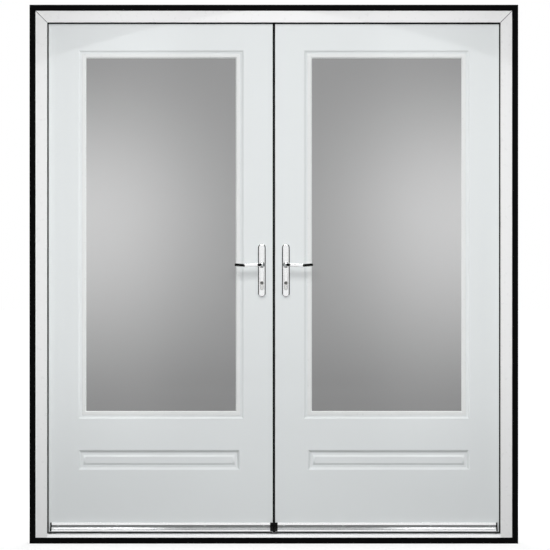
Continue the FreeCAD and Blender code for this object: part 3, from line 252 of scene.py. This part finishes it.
def level_card(half, near, far, z):
    return [(-half, near, z), (half, near, z), (half, far, z), (-half, far, z)]


def set_flags():
    """Black cards that only gloss sees, so that polished metal shows dark edges."""
    material = bpy.data.materials.new("flag_black")
    material.use_nodes = True
    material.node_tree.nodes.clear()
    black = material.node_tree.nodes.new("ShaderNodeEmission")
    black.inputs["Color"].default_value = (0.01, 0.01, 0.01, 1)
    out = material.node_tree.nodes.new("ShaderNodeOutputMaterial")
    material.node_tree.links.new(black.outputs[0], out.inputs["Surface"])
    low = LOW_FLAG_LEVEL
    cards = {
        "flag_left": upright_card(-FLAG_ASIDE),
        "flag_right": upright_card(FLAG_ASIDE),
        "flag_top": level_card(FLAG_ASIDE, FLAG_TOP_REACH, -FLAG_TOP_REACH, FLAG_TOP),
        "flag_low": level_card(LOW_FLAG_HALF, -LOW_FLAG_NEAR, -LOW_FLAG_FAR, low),
        "flag_behind": level_card(LOW_FLAG_HALF, LOW_FLAG_NEAR, LOW_FLAG_FAR, low),
    }
    for name, corners in cards.items():
        card = stage_face(name, corners, material)
        card.visible_camera = False
        card.visible_diffuse = False
        card.visible_shadow = False
        card.visible_transmission = False


def set_lamps():
    """A high key in front, part of it without shadow, and lamps behind and at the sides."""
    front = (0, -2.4, 2.8), (0, 0, 0.3), (2.2, 1.2)
    area_light("key", *front, 21.5, spread=120)
    area_light("key_fill", *front, 14.5, shadow=False, spread=120)
    middle = (0, 0, 1.0)
    area_light("low_fill", (0, -1.5, 1.0), middle, (0.7, 0.5), 2.6, shadow=False, gleam=False)
    area_light("back_key", (0, 2.4, 3.2), middle, (2.0, 1.6), 55)
    for side, name in ((-1, "left"), (1, "right")):
        strip = (0, -0.5, 1.3), (side * 0.86, 0, 1.3), (0.15, 1.7)
        area_light(f"strip_{name}", *strip, 0.46, shadow=False, gleam=False, spread=50)
        area_light(f"side_{name}", (side * 3.2, 1.1, 1.9), (0, 0.3, 1.0), (1.4, 1.4), 26)


def set_stage():
    set_camera()
    set_world()
    set_floor()
    set_lamps()
    set_flags()
    bpy.context.scene.view_settings.view_transform = "Standard"


# ------------------------------------------------------------------ materials

# Painted shade: the skin's colour darkens where ambient occlusion finds the surface closed in.
PAINTED_SHADE_CLOSED, PAINTED_SHADE_OPEN = 0.4, 0.76  # openness at the full shade and at none


class Finish:
    """A Principled material and short calls for the noise that varies it."""

    def __init__(self, name, colour, rough, metallic=0.0):
        self.material = bpy.data.materials.new(name)
        self.material.use_nodes = True
        self.nodes = self.material.node_tree.nodes
        self.links = self.material.node_tree.links
        self.shader = self.nodes["Principled BSDF"]
        self.colour = colour
        self.rough = rough
        self.shader.inputs["Base Color"].default_value = (*colour, 1)
        self.shader.inputs["Roughness"].default_value = rough
        self.shader.inputs["Metallic"].default_value = metallic
        self.place = self.nodes.new("ShaderNodeTexCoord").outputs["Object"]

    def noise(self, scale, stretch=(1, 1, 1), detail=3.0):
        """Noise of the given size a metre, squeezed along each axis by stretch."""
        mapping = self.nodes.new("ShaderNodeMapping")
        mapping.inputs["Scale"].default_value = stretch
        texture = self.nodes.new("ShaderNodeTexNoise")
        texture.inputs["Scale"].default_value = scale
        texture.inputs["Detail"].default_value = detail
        self.links.new(self.place, mapping.inputs["Vector"])
        self.links.new(mapping.outputs[0], texture.inputs["Vector"])
        return texture.outputs["Fac"]

    def spread(self, value, low, high, middle=0.25):
        """The value brought from its middle stretch into low..high."""
        remap = self.nodes.new("ShaderNodeMapRange")
        remap.inputs["From Min"].default_value = middle
        remap.inputs["From Max"].default_value = 1 - middle
        remap.inputs["To Min"].default_value = low
        remap.inputs["To Max"].default_value = high
        self.links.new(value, remap.inputs["Value"])
        return remap.outputs["Result"]

    def mixed(self, value, first, second):
        return mix_colours(self.nodes, self.links, value, first, second)

    def tint(self, value, amount):
        """Base colour that swings by a share of itself."""
        dark = tuple(c * (1 - amount) for c in self.colour)
        light = tuple(min(1, c * (1 + amount)) for c in self.colour)
        self.links.new(self.mixed(value, dark, light), self.shader.inputs["Base Color"])

    def paint_recess_shade(self, reach, darkest):
        """Painted shade: base colour taken down where the surface is closed in within reach
        millimetres.
        """
        around = self.nodes.new("ShaderNodeAmbientOcclusion")
        around.samples = 8
        around.only_local = True
        around.inputs["Distance"].default_value = reach * MM
        open_share = self.nodes.new("ShaderNodeMapRange")
        open_share.inputs["From Min"].default_value = PAINTED_SHADE_CLOSED
        open_share.inputs["From Max"].default_value = PAINTED_SHADE_OPEN
        self.links.new(around.outputs["AO"], open_share.inputs["Value"])
        shade = tuple(c * darkest for c in self.colour)
        plain = self.shader.inputs["Base Color"].links[0].from_socket
        shaded = self.mixed(open_share.outputs["Result"], shade, plain)
        self.links.new(shaded, self.shader.inputs["Base Color"])

    def gloss(self, value, swing):
        """Roughness that swings by the given amount."""
        rough = self.spread(value, self.rough - swing, self.rough + swing)
        self.links.new(rough, self.shader.inputs["Roughness"])

    def bump(self, value, height, strength):
        """Relief of the given depth in millimetres."""
        relief = self.nodes.new("ShaderNodeBump")
        relief.inputs["Strength"].default_value = strength
        relief.inputs["Distance"].default_value = height * MM
        self.links.new(value, relief.inputs["Height"])
        self.links.new(relief.outputs[0], self.shader.inputs["Normal"])


def white_profile():
    """Extruded PVC-U: satin, with faint lines along its length."""
    finish = Finish("white_profile", (0.93, 0.93, 0.927), 0.3)
    finish.tint(finish.noise(2.5), 0.012)
    finish.gloss(finish.noise(60), 0.05)
    finish.bump(finish.noise(1400, detail=2), 0.012, 0.4)
    return finish.material


def white_skin():
    """Moulded GRP skin: a light upright grain under satin paint, with shade painted into its
    recesses.
    """
    finish = Finish("white_skin", (0.785, 0.813, 0.816), 0.36)
    finish.tint(finish.noise(1.6), 0.02)
    finish.gloss(finish.noise(45), 0.06)
    # painted shade: the colour goes darker in the mouldings and grooves
    finish.paint_recess_shade(16, 0.45)
    grain = finish.noise(240, stretch=(1, 1, 0.035), detail=4)
    finish.bump(grain, 0.05, 0.35)
    return finish.material


def white_bead():
    finish = Finish("white_bead", (0.80, 0.815, 0.81), 0.3)
    finish.tint(finish.noise(3), 0.01)
    finish.gloss(finish.noise(80), 0.04)
    return finish.material


def black_profile():
    finish = Finish("black_profile", (0.0015, 0.0015, 0.0016), 0.6)
    finish.tint(finish.noise(30), 0.3)
    finish.gloss(finish.noise(90), 0.08)
    finish.bump(finish.noise(900), 0.02, 0.4)
    finish.shader.inputs["Specular IOR Level"].default_value = 0.04
    return finish.material


def rubber():
    finish = Finish("rubber", (0.006, 0.006, 0.0065), 0.62)
    finish.tint(finish.noise(40), 0.25)
    finish.gloss(finish.noise(200), 0.08)
    finish.bump(finish.noise(1500), 0.02, 0.5)
    finish.shader.inputs["Specular IOR Level"].default_value = 0.12
    return finish.material


def chrome():
    """Polished chrome with the faintest haze."""
    finish = Finish("chrome", (0.86, 0.865, 0.87), 0.07, metallic=1)
    finish.gloss(finish.noise(120), 0.03)
    finish.tint(finish.noise(25), 0.02)
    return finish.material


def joint_shade():
    """The depth of the mitre groove, which no light reaches."""
    finish = Finish("joint_shade", (0.03, 0.03, 0.03), 0.8)
    finish.shader.inputs["Specular IOR Level"].default_value = 0.05
    finish.tint(finish.noise(200), 0.2)
    finish.gloss(finish.noise(300), 0.05)
    return finish.material


def channel_shade():
    """Unpolished aluminium in the weatherbar's screw channel, darkened as painted shade under the
    bar's lip.
    """
    finish = Finish("channel_shade", (0.4, 0.405, 0.41), 0.6, metallic=0.5)
    finish.tint(finish.noise(300), 0.1)
    finish.gloss(finish.noise(400), 0.05)
    return finish.material


def brushed_steel():
    finish = Finish("brushed_steel", (0.52, 0.53, 0.54), 0.34, metallic=1)
    line = finish.noise(900, stretch=(1, 1, 0.03))
    finish.gloss(line, 0.1)
    finish.tint(line, 0.08)
    return finish.material


def aluminium():
    """Bright anodised bar, drawn along its length."""
    finish = Finish("aluminium", (0.95, 0.955, 0.96), 0.28, metallic=1)
    line = finish.noise(1200, stretch=(0.01, 1, 1))
    finish.gloss(line, 0.02)
    finish.tint(line, 0.01)
    return finish.material


def nickel():
    finish = Finish("nickel", (0.70, 0.70, 0.69), 0.28, metallic=1)
    finish.gloss(finish.noise(300), 0.05)
    finish.tint(finish.noise(90), 0.03)
    return finish.material


def keyhole_shade():
    """Nickel on the turning plug, darkened as painted shade, which shows as the dark spot of the
    keyhole.
    """
    finish = Finish("keyhole_shade", (0.16, 0.16, 0.155), 0.4, metallic=1)
    finish.gloss(finish.noise(300), 0.05)
    finish.tint(finish.noise(90), 0.05)
    return finish.material


def painted_timber():
    """Leaf edges: timber under white lacquer, its grain just showing."""
    finish = Finish("painted_timber", (0.80, 0.805, 0.805), 0.4)
    grain = finish.noise(160, stretch=(1, 1, 0.03), detail=5)
    finish.tint(grain, 0.015)
    finish.bump(grain, 0.06, 0.5)
    return finish.material


def foam():
    finish = Finish("foam", (0.75, 0.68, 0.42), 0.9)
    finish.tint(finish.noise(260), 0.12)
    finish.bump(finish.noise(420), 0.3, 0.6)
    return finish.material


# The glass's colour paints light: a glow, and a grey that gets lighter towards the hinge side.
GLOW_FOOT, GLOW_HEIGHT, GLOW_HEAD = 0.42, 1.30, 2.03  # heights in metres
GLOW_MIDDLE, GLOW_SIDE = -0.20, 0.85  # distances from the door's middle line
GLASS_MIDDLE, PAINTED_SIDE_LIGHT, PAINTED_GLASS_GLOW = (0.255,) * 3, (0.27,) * 3, (0.595,) * 3


def obscured_glass():
    """Satin grey glass with painted light: a soft painted glow that is brightest at mid height, on
    the hinge side, and a grey painted lighter towards the sides.
    """
    finish = Finish("obscured_glass", GLASS_MIDDLE, 0.3)
    tree = finish.nodes, finish.links
    split = finish.nodes.new("ShaderNodeSeparateXYZ")
    finish.links.new(finish.place, split.inputs[0])
    aside = finish.nodes.new("ShaderNodeMath")
    aside.operation = "ABSOLUTE"
    finish.links.new(split.outputs["X"], aside.inputs[0])
    below = eased(*tree, split.outputs["Z"], GLOW_FOOT, GLOW_HEIGHT)
    above = eased(*tree, split.outputs["Z"], GLOW_HEAD, GLOW_HEIGHT)
    outward = eased(*tree, aside.outputs[0], GLOW_MIDDLE, GLOW_SIDE)
    glow = times(*tree, times(*tree, below, above), outward)
    grey = finish.mixed(outward, GLASS_MIDDLE, PAINTED_SIDE_LIGHT)
    colour = finish.mixed(glow, grey, PAINTED_GLASS_GLOW)
    finish.links.new(colour, finish.shader.inputs["Base Color"])
    finish.gloss(finish.noise(500), 0.04)
    finish.bump(finish.noise(2200, detail=1), 0.01, 0.3)
    return finish.material


FINISHES = {
    "frame_white": white_profile(),
    "profile_black": black_profile(),
    "skin_white": white_skin(),
    "bead_white": white_bead(),
    "glass": obscured_glass(),
    "rubber": rubber(),
    "chrome": chrome(),
    "steel": brushed_steel(),
    "aluminium": aluminium(),
    "foam": foam(),
    "timber": painted_timber(),
    "nickel": nickel(),
}
CHANNEL_SHADE = channel_shade()
JOINT_SHADE = joint_shade()
KEYHOLE_SHADE = keyhole_shade()


# ------------------------------------------------------------------ mesh helpers

SHARP = math.radians(32)


def finished(name, bm, node, smooth=SHARP, finish=None):
    """Turn millimetres into metres, and make a piece that rides and is slotted as its node."""
    bmesh.ops.scale(bm, vec=(MM, MM, MM), verts=bm.verts)
    bmesh.ops.recalc_face_normals(bm, faces=bm.faces)
    for face in bm.faces:
        face.smooth = True
    for edge in bm.edges:
        edge.smooth = len(edge.link_faces) == 2 and edge.calc_face_angle(0) < smooth
    mesh = bpy.data.meshes.new(name)
    bm.to_mesh(mesh)
    bm.free()
    solid = bpy.data.objects.new(name, mesh)
    bpy.context.scene.collection.objects.link(solid)
    mesh.materials.append(finish or FINISHES[SLOT_OF[node]])
    even = solid.modifiers.new("even_shading", "WEIGHTED_NORMAL")
    even.keep_sharp = True
    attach(solid, BODY_OF[node])
    return solid


def solid_of(node):
    """The CAD node's shape in millimetres, with its flat faces whole again."""
    bm = bmesh.new()
    bm.from_mesh(frame["nodes"][node].data)
    bmesh.ops.scale(bm, vec=(1000, 1000, 1000), verts=bm.verts)
    bmesh.ops.remove_doubles(bm, verts=bm.verts, dist=0.002)
    bmesh.ops.dissolve_limit(bm, angle_limit=math.radians(0.4), verts=bm.verts, edges=bm.edges)
    return bm


def soften(bm, width, steps=3, least=30, where=None):
    """Round the edges that fold by more than the least angle and pass the where test."""
    chosen = [
        edge
        for edge in bm.edges
        if len(edge.link_faces) == 2
        and math.radians(least) < edge.calc_face_angle(0) < math.pi
        and (where is None or where(edge))
    ]
    bmesh.ops.bevel(
        bm,
        geom=chosen,
        offset=width,
        offset_type="OFFSET",
        segments=steps,
        profile=0.5,
        affect="EDGES",
        clamp_overlap=True,
    )


def softened(node, *rules, smooth=SHARP, finish=None):
    """The node with rounded edges. Each rule is a dict of what soften takes."""
    bm = solid_of(node)
    for rule in rules:
        soften(bm, **rule)
    made = finished(f"{node}_form", bm, node, smooth, finish)
    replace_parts(made, node)
    return made


def loft(bm, rings, closed=False):
    """Faces between rings of points, each ring joined to the next."""
    made = [[bm.verts.new(point) for point in ring] for ring in rings]
    pairs = list(zip(made, made[1:]))
    if closed:
        pairs.append((made[-1], made[0]))
    for near, far in pairs:
        count = len(near)
        for i in range(count):
            j = (i + 1) % count
            bm.faces.new((near[i], near[j], far[j], far[i]))
    return made


def fill(bm, *loops):
    """A flat face between closed loops of vertices, the first one outside the others."""
    edges = []
    for loop in loops:
        for i, vert in enumerate(loop):
            after = loop[(i + 1) % len(loop)]
            edges.append(bm.edges.get((vert, after)) or bm.edges.new((vert, after)))
    bmesh.ops.triangle_fill(bm, use_beauty=True, use_dissolve=False, edges=edges)


def rectangle(rect, out, y):
    """A rectangle in the leaf's plane, grown outwards, at depth y."""
    left, right, low, high = rect
    return [
        Vector((left - out, y, low - out)),
        Vector((right + out, y, low - out)),
        Vector((right + out, y, high + out)),
        Vector((left - out, y, high + out)),
    ]


def circle(x, z, radius, y, count=32):
    """A ring round a line along Y."""
    turns = [2 * math.pi * i / count for i in range(count)]
    return [Vector((x + radius * math.cos(t), y, z + radius * math.sin(t))) for t in turns]


def stadium(x, low, high, radius, y, count=16):
    """An upright slot shape whose round ends reach low and high."""
    ring = []
    for centre, start in ((high - radius, 0), (low + radius, math.pi)):
        for i in range(count + 1):
            turn = start + math.pi * i / count
            ring.append(Vector((x + radius * math.cos(turn), y, centre + radius * math.sin(turn))))
    return ring


def ogee(start, end, steps=10):
    """Points of an S-shaped slope between two (distance, depth) points."""
    points = []
    for i in range(steps + 1):
        t = i / steps
        rise = t * t * t * (t * (6 * t - 15) + 10)
        points.append(
            (start[0] + (end[0] - start[0]) * t, start[1] + (end[1] - start[1]) * rise)
        )
    return points


def quarter(start, end, steps=6):
    """Points of a round corner that leaves start along depth and reaches end level."""
    points = []
    for i in range(steps + 1):
        turn = math.pi / 2 * i / steps
        across = start[0] + (end[0] - start[0]) * (1 - math.cos(turn))
        points.append((across, start[1] + (end[1] - start[1]) * math.sin(turn)))
    return points


def millimetres(node):
    """The low and high corners of the CAD node's box."""
    low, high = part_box(node)
    return low * 1000, high * 1000


def mirrored(bm, x=None, y=None):
    """The form turned over to the other side of the plane at x, at y or at both."""
    for vert in bm.verts:
        if x is not None:
            vert.co.x = 2 * x - vert.co.x
        if y is not None:
            vert.co.y = 2 * y - vert.co.y
    return bm


# ------------------------------------------------------------------ the frame

MITRE_GROOVE = 1.0
FACE_ROUND = 3.5  # rounding of the profiles' front edges


def shade_mitres(bm):
    """The sides of the groove between jamb and head, which shows as a fine dark line."""
    bm.normal_update()
    for face in bm.faces:
        diagonal = abs(abs(face.normal.x) - abs(face.normal.z)) < 0.05
        face.material_index = int(diagonal and -0.95 < face.normal.y < -0.3)


def build_frame():
    """The profiles with rounded front edges, a fine groove at each mitre, and the seal."""
    front = millimetres("frame_head")[0].y

    def at_front(edge):
        return all(abs(v.co.y - front) < 0.01 for v in edge.verts)

    def mitre(edge):
        near, far = (v.co for v in edge.verts)
        return abs(near.x - far.x) > 1 and abs(abs(near.x - far.x) - abs(near.z - far.z)) < 0.01

    for node in ("frame_jamb_left", "frame_jamb_right", "frame_head"):
        bm = solid_of(node)
        soften(bm, MITRE_GROOVE, steps=1, where=lambda e: at_front(e) and mitre(e))
        shade_mitres(bm)
        soften(bm, FACE_ROUND, steps=6, where=lambda e: at_front(e) and not mitre(e))
        made = finished(f"{node}_form", bm, node)
        made.data.materials.append(JOINT_SHADE)
        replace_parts(made, node)
    softened("threshold", dict(width=0.8))
    softened("frame_gasket", dict(width=1.1, steps=4))


# ------------------------------------------------------------------ leaves

LEAF_MIDDLE = (millimetres("master_outer_skin")[0].y + millimetres("master_inner_skin")[1].y) / 2
SKIN = 2.5  # thickness
SURROUND = 33.7  # glass to the rim of the sunk surround
SURROUND_FLOOR = 18.7  # glass to where the surround's floor starts
SURROUND_DEPTH = 6
BEAD_EDGE = 17.0  # glass to the bead's outer edge
WINDOW = 11.0  # glass to the opening in the skin
UNIT_COVER = 7.0  # edge of the glass unit behind the bead
PANEL_SIDE = 130.0  # leaf's edges to the panel
PANEL_LOW, PANEL_HIGH = 291.0, 374.0  # heights
LIP_SET_BACK = 3.2  # lip of the bead behind the flange's foremost face
# holes: radius for the spindle; reach below the key, above it, and radius for the cylinder
SKIN_HOLES = 9, 26, 10, 9.5
PLATE_HOLES = 7.5, 25, 9, 8.9
CHANNEL_HEAD, CHANNEL_FOOT = 8.5, 17.5  # below the weatherbar's top
CHANNEL_FROM, CHANNEL_TO = 18, 1  # behind the bar's nose, before its back


def leaf_rectangle():
    low, high = millimetres("master_outer_skin")
    return low.x, high.x, low.z, high.z


def glass_rectangle():
    low, high = millimetres("master_glass_unit")
    return low.x + UNIT_COVER, high.x - UNIT_COVER, low.z + UNIT_COVER, high.z - UNIT_COVER


def panel_rectangle():
    left, right, _, _ = leaf_rectangle()
    return left + PANEL_SIDE, right - PANEL_SIDE, PANEL_LOW, PANEL_HIGH


def surround_profile():
    """An easy slope, then a narrow groove beside the bead."""
    slope = ogee((SURROUND, 0), (SURROUND_FLOOR + 2.3, 4.8))
    groove = [(SURROUND_FLOOR + 1.6, 5.1), (SURROUND_FLOOR + 0.6, 5.8)]
    return slope + groove + [(SURROUND_FLOOR, SURROUND_DEPTH), (WINDOW, SURROUND_DEPTH)]


def panel_profile():
    """Distances are negative, because the moulding runs inwards from the panel's rim."""
    wall = [(0, 0), (-1.8, 0.15), (-3.0, 0.7), (-4.0, 1.5), (-10.4, 7.0), (-11.4, 7.6)]
    cove = [(-12.6, 7.9), (-13.6, 8.0), (-20.6, 8.0)]
    field = [(-21.6, 7.8), (-28.4, 4.1), (-29.4, 3.8), (-30.4, 3.75)]
    return wall + cove + field


def skin():
    """A pressed skin: rounded rim, sunk surround with the window in it, and the low panel."""
    bm = bmesh.new()
    face = millimetres("master_outer_skin")[0].y
    leaf, glass, panel = leaf_rectangle(), glass_rectangle(), panel_rectangle()
    rim = quarter((0, 1.4), (-1.4, 0))
    front = loft(bm, [rectangle(leaf, out, face + down) for out, down in rim])
    back = loft(bm, [rectangle(leaf, 0, face + SKIN), rectangle(leaf, -1, face + SKIN)])
    around = [surround_profile(), panel_profile()]
    rings = []
    for rect, profile in zip((glass, panel), around):
        for shift in (0, SKIN):
            deep = face + shift
            rings.append(loft(bm, [rectangle(rect, out, deep + down) for out, down in profile]))
    walls = [loft(bm, hole) for hole in holes((face, face + SKIN), *SKIN_HOLES)]
    fill(bm, front[-1], rings[0][0], rings[2][0], walls[0][0], walls[1][0])
    fill(bm, back[-1], rings[1][0], rings[3][0], walls[0][1], walls[1][1])
    for near, far in ((front[0], back[0]), (rings[0][-1], rings[1][-1])):
        for i in range(4):
            j = (i + 1) % 4
            bm.faces.new((near[i], near[j], far[j], far[i]))
    bm.faces.new(rings[2][-1])
    bm.faces.new(rings[3][-1])
    return bm


def holes(depths, spindle_radius, key_below, key_above, key_radius):
    """Rings of the holes for the spindle and for the key cylinder."""
    x, spindle_z, key_z = handle_places()
    spindle = [circle(x, spindle_z, spindle_radius, y) for y in depths]
    key = [stadium(x, key_z - key_below, key_z + key_above, key_radius, y) for y in depths]
    return spindle, key


def handle_places():
    """The spindle's x, and the heights of the spindle and the key."""
    boxes = (millimetres(f"master_{n}") for n in ("outer_backplate", "outer_lever", "key_plug"))
    plate, grip, plug = ((low + high) / 2 for low, high in boxes)
    return plate.x, grip.z, plug.z


def cassette():
    """A glazing bead: rounded lip over the skin, leg behind it, and a round fall to the glass."""
    bm = bmesh.new()
    low, high = millimetres("master_outer_cassette")
    face = low.y
    pane = millimetres("master_glass_unit")[0].y
    lip = face + LIP_SET_BACK
    profile = [(8, high.y), (10.5, high.y), (10.5, face + 5), (BEAD_EDGE, face + 5)]
    profile += [(BEAD_EDGE - across, lip + down) for across, down in quarter((0, 1.2), (1.6, 0))]
    profile += [(9.5, lip)]
    profile += [(across, lip + down) for across, down in ogee((4.8, 0), (0.4, 3.3), steps=8)]
    profile += [(0, pane - 0.3), (0, pane), (8, pane)]
    loft(bm, [rectangle(glass_rectangle(), out, y) for out, y in profile], closed=True)
    return bm


def leaf_pieces(stem, build, smooth=SHARP, sides=("outer", "inner")):
    """The same form on both leaves and on both faces of each."""
    for leaf in ("master", "slave"):
        for side in sides:
            bm = mirrored(
                build(),
                x=0 if leaf == "slave" else None,
                y=LEAF_MIDDLE if side == "inner" else None,
            )
            node = f"{leaf}_{side}_{stem}"
            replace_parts(finished(f"{node}_form", bm, node, smooth), node)


def weatherbar(leaf):
    """The bar with softened edges. The channel that holds the screws has shade painted into its
    colour.
    """
    node = f"{leaf}_weatherbar"
    low, high = millimetres(node)
    bm = solid_of(node)
    soften(bm, 0.7, least=15)
    # faces in the screw channel take the painted shade
    for face in bm.faces:
        middle = face.calc_center_median()
        level = high.z - CHANNEL_FOOT < middle.z < high.z - CHANNEL_HEAD
        deep = low.y + CHANNEL_FROM < middle.y < high.y - CHANNEL_TO
        face.material_index = int(level and deep)
    made = finished(f"{node}_form", bm, node)
    made.data.materials.append(CHANNEL_SHADE)
    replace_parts(made, node)


def build_leaves():
    leaf_pieces("skin", skin, smooth=math.radians(28))
    leaf_pieces("cassette", cassette)
    for leaf in ("master", "slave"):
        weatherbar(leaf)
        softened(f"{leaf}_weatherbar_caps", dict(width=0.8, least=25))
        softened(f"{leaf}_weatherbar_screws", dict(width=0.5, least=60))
        softened(f"{leaf}_edge_frame", dict(width=0.6, steps=2, least=60))
        softened(f"{leaf}_bottom_seal", dict(width=1.2, least=60))
        softened(f"{leaf}_hinge_leaves", dict(width=0.8, least=60))
    softened("slave_meeting_seal", dict(width=0.8, least=60))
    softened("hinge_frame_plates", dict(width=0.8, least=60))
    softened("hinge_pins", dict(width=0.8, least=60))


# ------------------------------------------------------------------ handles

PLATE_EDGE = 4.0  # width of the backplate's bevelled edge
COLLAR = 12.0  # radius at the foot of the lever
GRIP = 6.0  # half the grip's thickness
BEND = 20.0  # radius where the neck turns into the grip
STRAIGHT = 62.0  # spindle to where the grip leans back to the leaf
RETURN = 11.0  # how far the grip's end comes back to the leaf
DIP = 2.4  # sag of the grip at its middle
PACE = 2.0  # longest step along the grip
TIP = 3  # rings that close the grip's end
SPINDLE_HALF = 3.9


def backplate():
    """A long chrome plate with a wide bevelled edge and a slightly crowned face."""
    bm = bmesh.new()
    low, high = millimetres("master_outer_backplate")
    x = handle_places()[0]
    radius = (high.x - low.x) / 2
    profile = [(0, high.y), (0, low.y + 3.6)]
    profile += [(0.5, low.y + 2.7), (1.6, low.y + 1.6), (2.8, low.y + 0.7)]
    profile += [(PLATE_EDGE, low.y + 0.25), (PLATE_EDGE + 1.2, low.y + 0.1), (9, low.y)]
    rings = loft(
        bm,
        [stadium(x, low.z + inset, high.z - inset, radius - inset, y) for inset, y in profile],
    )
    spindle, key = (loft(bm, hole) for hole in holes((low.y, high.y), *PLATE_HOLES))
    fill(bm, rings[-1], spindle[0], key[0])
    fill(bm, rings[0], spindle[1], key[1])
    return bm


def lathe(bm, x, z, profile, count=40):
    """A turned form round a line along Y, from (radius, y) points, closed at both ends."""
    rings = loft(bm, [circle(x, z, radius, y, count) for radius, y in profile])
    bm.faces.new(rings[0])
    bm.faces.new(rings[-1])


def grip_route(x, y, z, reach, stand):
    """Points of the lever's middle line, each with its direction and its share of the grip."""
    route = []
    for i in range(3):
        place = Vector((x, y - 4 - (stand - BEND - 4) * i / 2, z))
        route.append((place, Vector((0, -1, 0)), 0))
    for i in range(1, 9):
        turn = math.pi / 2 * i / 8
        place = Vector(
            (x - BEND * (1 - math.cos(turn)), y - stand + BEND - BEND * math.sin(turn), z)
        )
        route.append((place, Vector((-math.sin(turn), -math.cos(turn), 0)), 0))
    lean = math.atan(RETURN / (reach - STRAIGHT))
    along = BEND
    place = Vector((x - BEND, y - stand, z))
    while along < reach:
        step = min(PACE, reach - along)
        share = min(1, max(0, (along - STRAIGHT) / 8))
        way = Vector((-math.cos(lean * share), math.sin(lean * share), 0))
        place = place + way * step
        along += step
        dip = DIP * math.sin(math.pi * (along - BEND) / (reach - BEND)) ** 2
        route.append((place - Vector((0, 0, dip)), way, (along - BEND) / (reach - BEND)))
        if step < PACE:
            break
    return route


def oval(place, way, deep, tall, flat, count=32):
    """A ring across the way it faces. The larger flat is, the flatter its four sides."""
    side = way.cross(Vector((0, 0, 1))).normalized()
    ring = []
    for k in range(count):
        turn = 2 * math.pi * k / count
        c, s = math.cos(turn), math.sin(turn)
        out = math.copysign(abs(c) ** (2 / flat), c)
        up = math.copysign(abs(s) ** (2 / flat), s)
        ring.append(place + side * deep * out + Vector((0, 0, tall * up)))
    return ring


def lever():
    """A turned collar, a neck through a bend, and a flat-sided grip with a domed tip."""
    bm = bmesh.new()
    low = millimetres("master_outer_lever")[0]
    x, z, _ = handle_places()
    plate = millimetres("master_outer_backplate")[0].y - 0.3
    reach, stand = x - low.x - 0.6, plate - low.y - GRIP
    route = grip_route(x, plate, z, reach, stand)
    rings = []
    last = len(route) - 1
    for i, (place, way, share) in enumerate(route):
        tall, deep = GRIP + 0.3, GRIP - 1.4 * share
        if i > last - TIP:
            shrink = math.sqrt(1 - ((i - last + TIP) / TIP) ** 2 * 0.9)
            tall, deep = tall * shrink, deep * shrink
        rings.append(oval(place, way, deep, tall, 2 + 4 * min(1, i / 4)))
    made = loft(bm, rings)
    bm.faces.new(made[0])
    bm.faces.new(made[-1])
    dome = [(0.6, 0), (0, 0.6), (0, 3.4), (0.5, 4.0), (1.3, 4.3), (1.5, 5.2), (2.2, 6.6)]
    dome += [(3.6, 7.8), (5.6, 8.7), (8.0, 9.0)]
    lathe(bm, x, z, [(COLLAR - inset, plate - out) for inset, out in dome])
    spindle_bar(bm, x, z, plate - 2, LEAF_MIDDLE - 0.4)
    return bm


def spindle_bar(bm, x, z, start, end):
    """Half of the square spindle, from one lever to the middle of the leaf."""
    half = SPINDLE_HALF
    corners = [(-half, -half), (half, -half), (half, half), (-half, half)]
    rings = loft(bm, [[Vector((x + a, y, z + b)) for a, b in corners] for y in (start, end)])
    bm.faces.new(rings[0])
    bm.faces.new(rings[-1])


def build_handles():
    leaf_pieces("backplate", backplate, smooth=math.radians(50))
    leaf_pieces("lever", lever, smooth=math.radians(50))
    for leaf in ("master", "slave"):
        softened(f"{leaf}_cylinder", dict(width=0.4, steps=2, least=60))
        # the plug's darkened metal paints the keyhole's shade
        softened(f"{leaf}_key_plug", dict(width=0.25, steps=2, least=60), finish=KEYHOLE_SHADE)
        softened(f"{leaf}_faceplate", dict(width=0.5, steps=2, least=60))


# ------------------------------------------------------------------ making

set_stage()
build_frame()
build_leaves()
build_handles()

for node, shape in frame["nodes"].items():
    shape.data.materials.clear()
    shape.data.materials.append(FINISHES[SLOT_OF[node]])
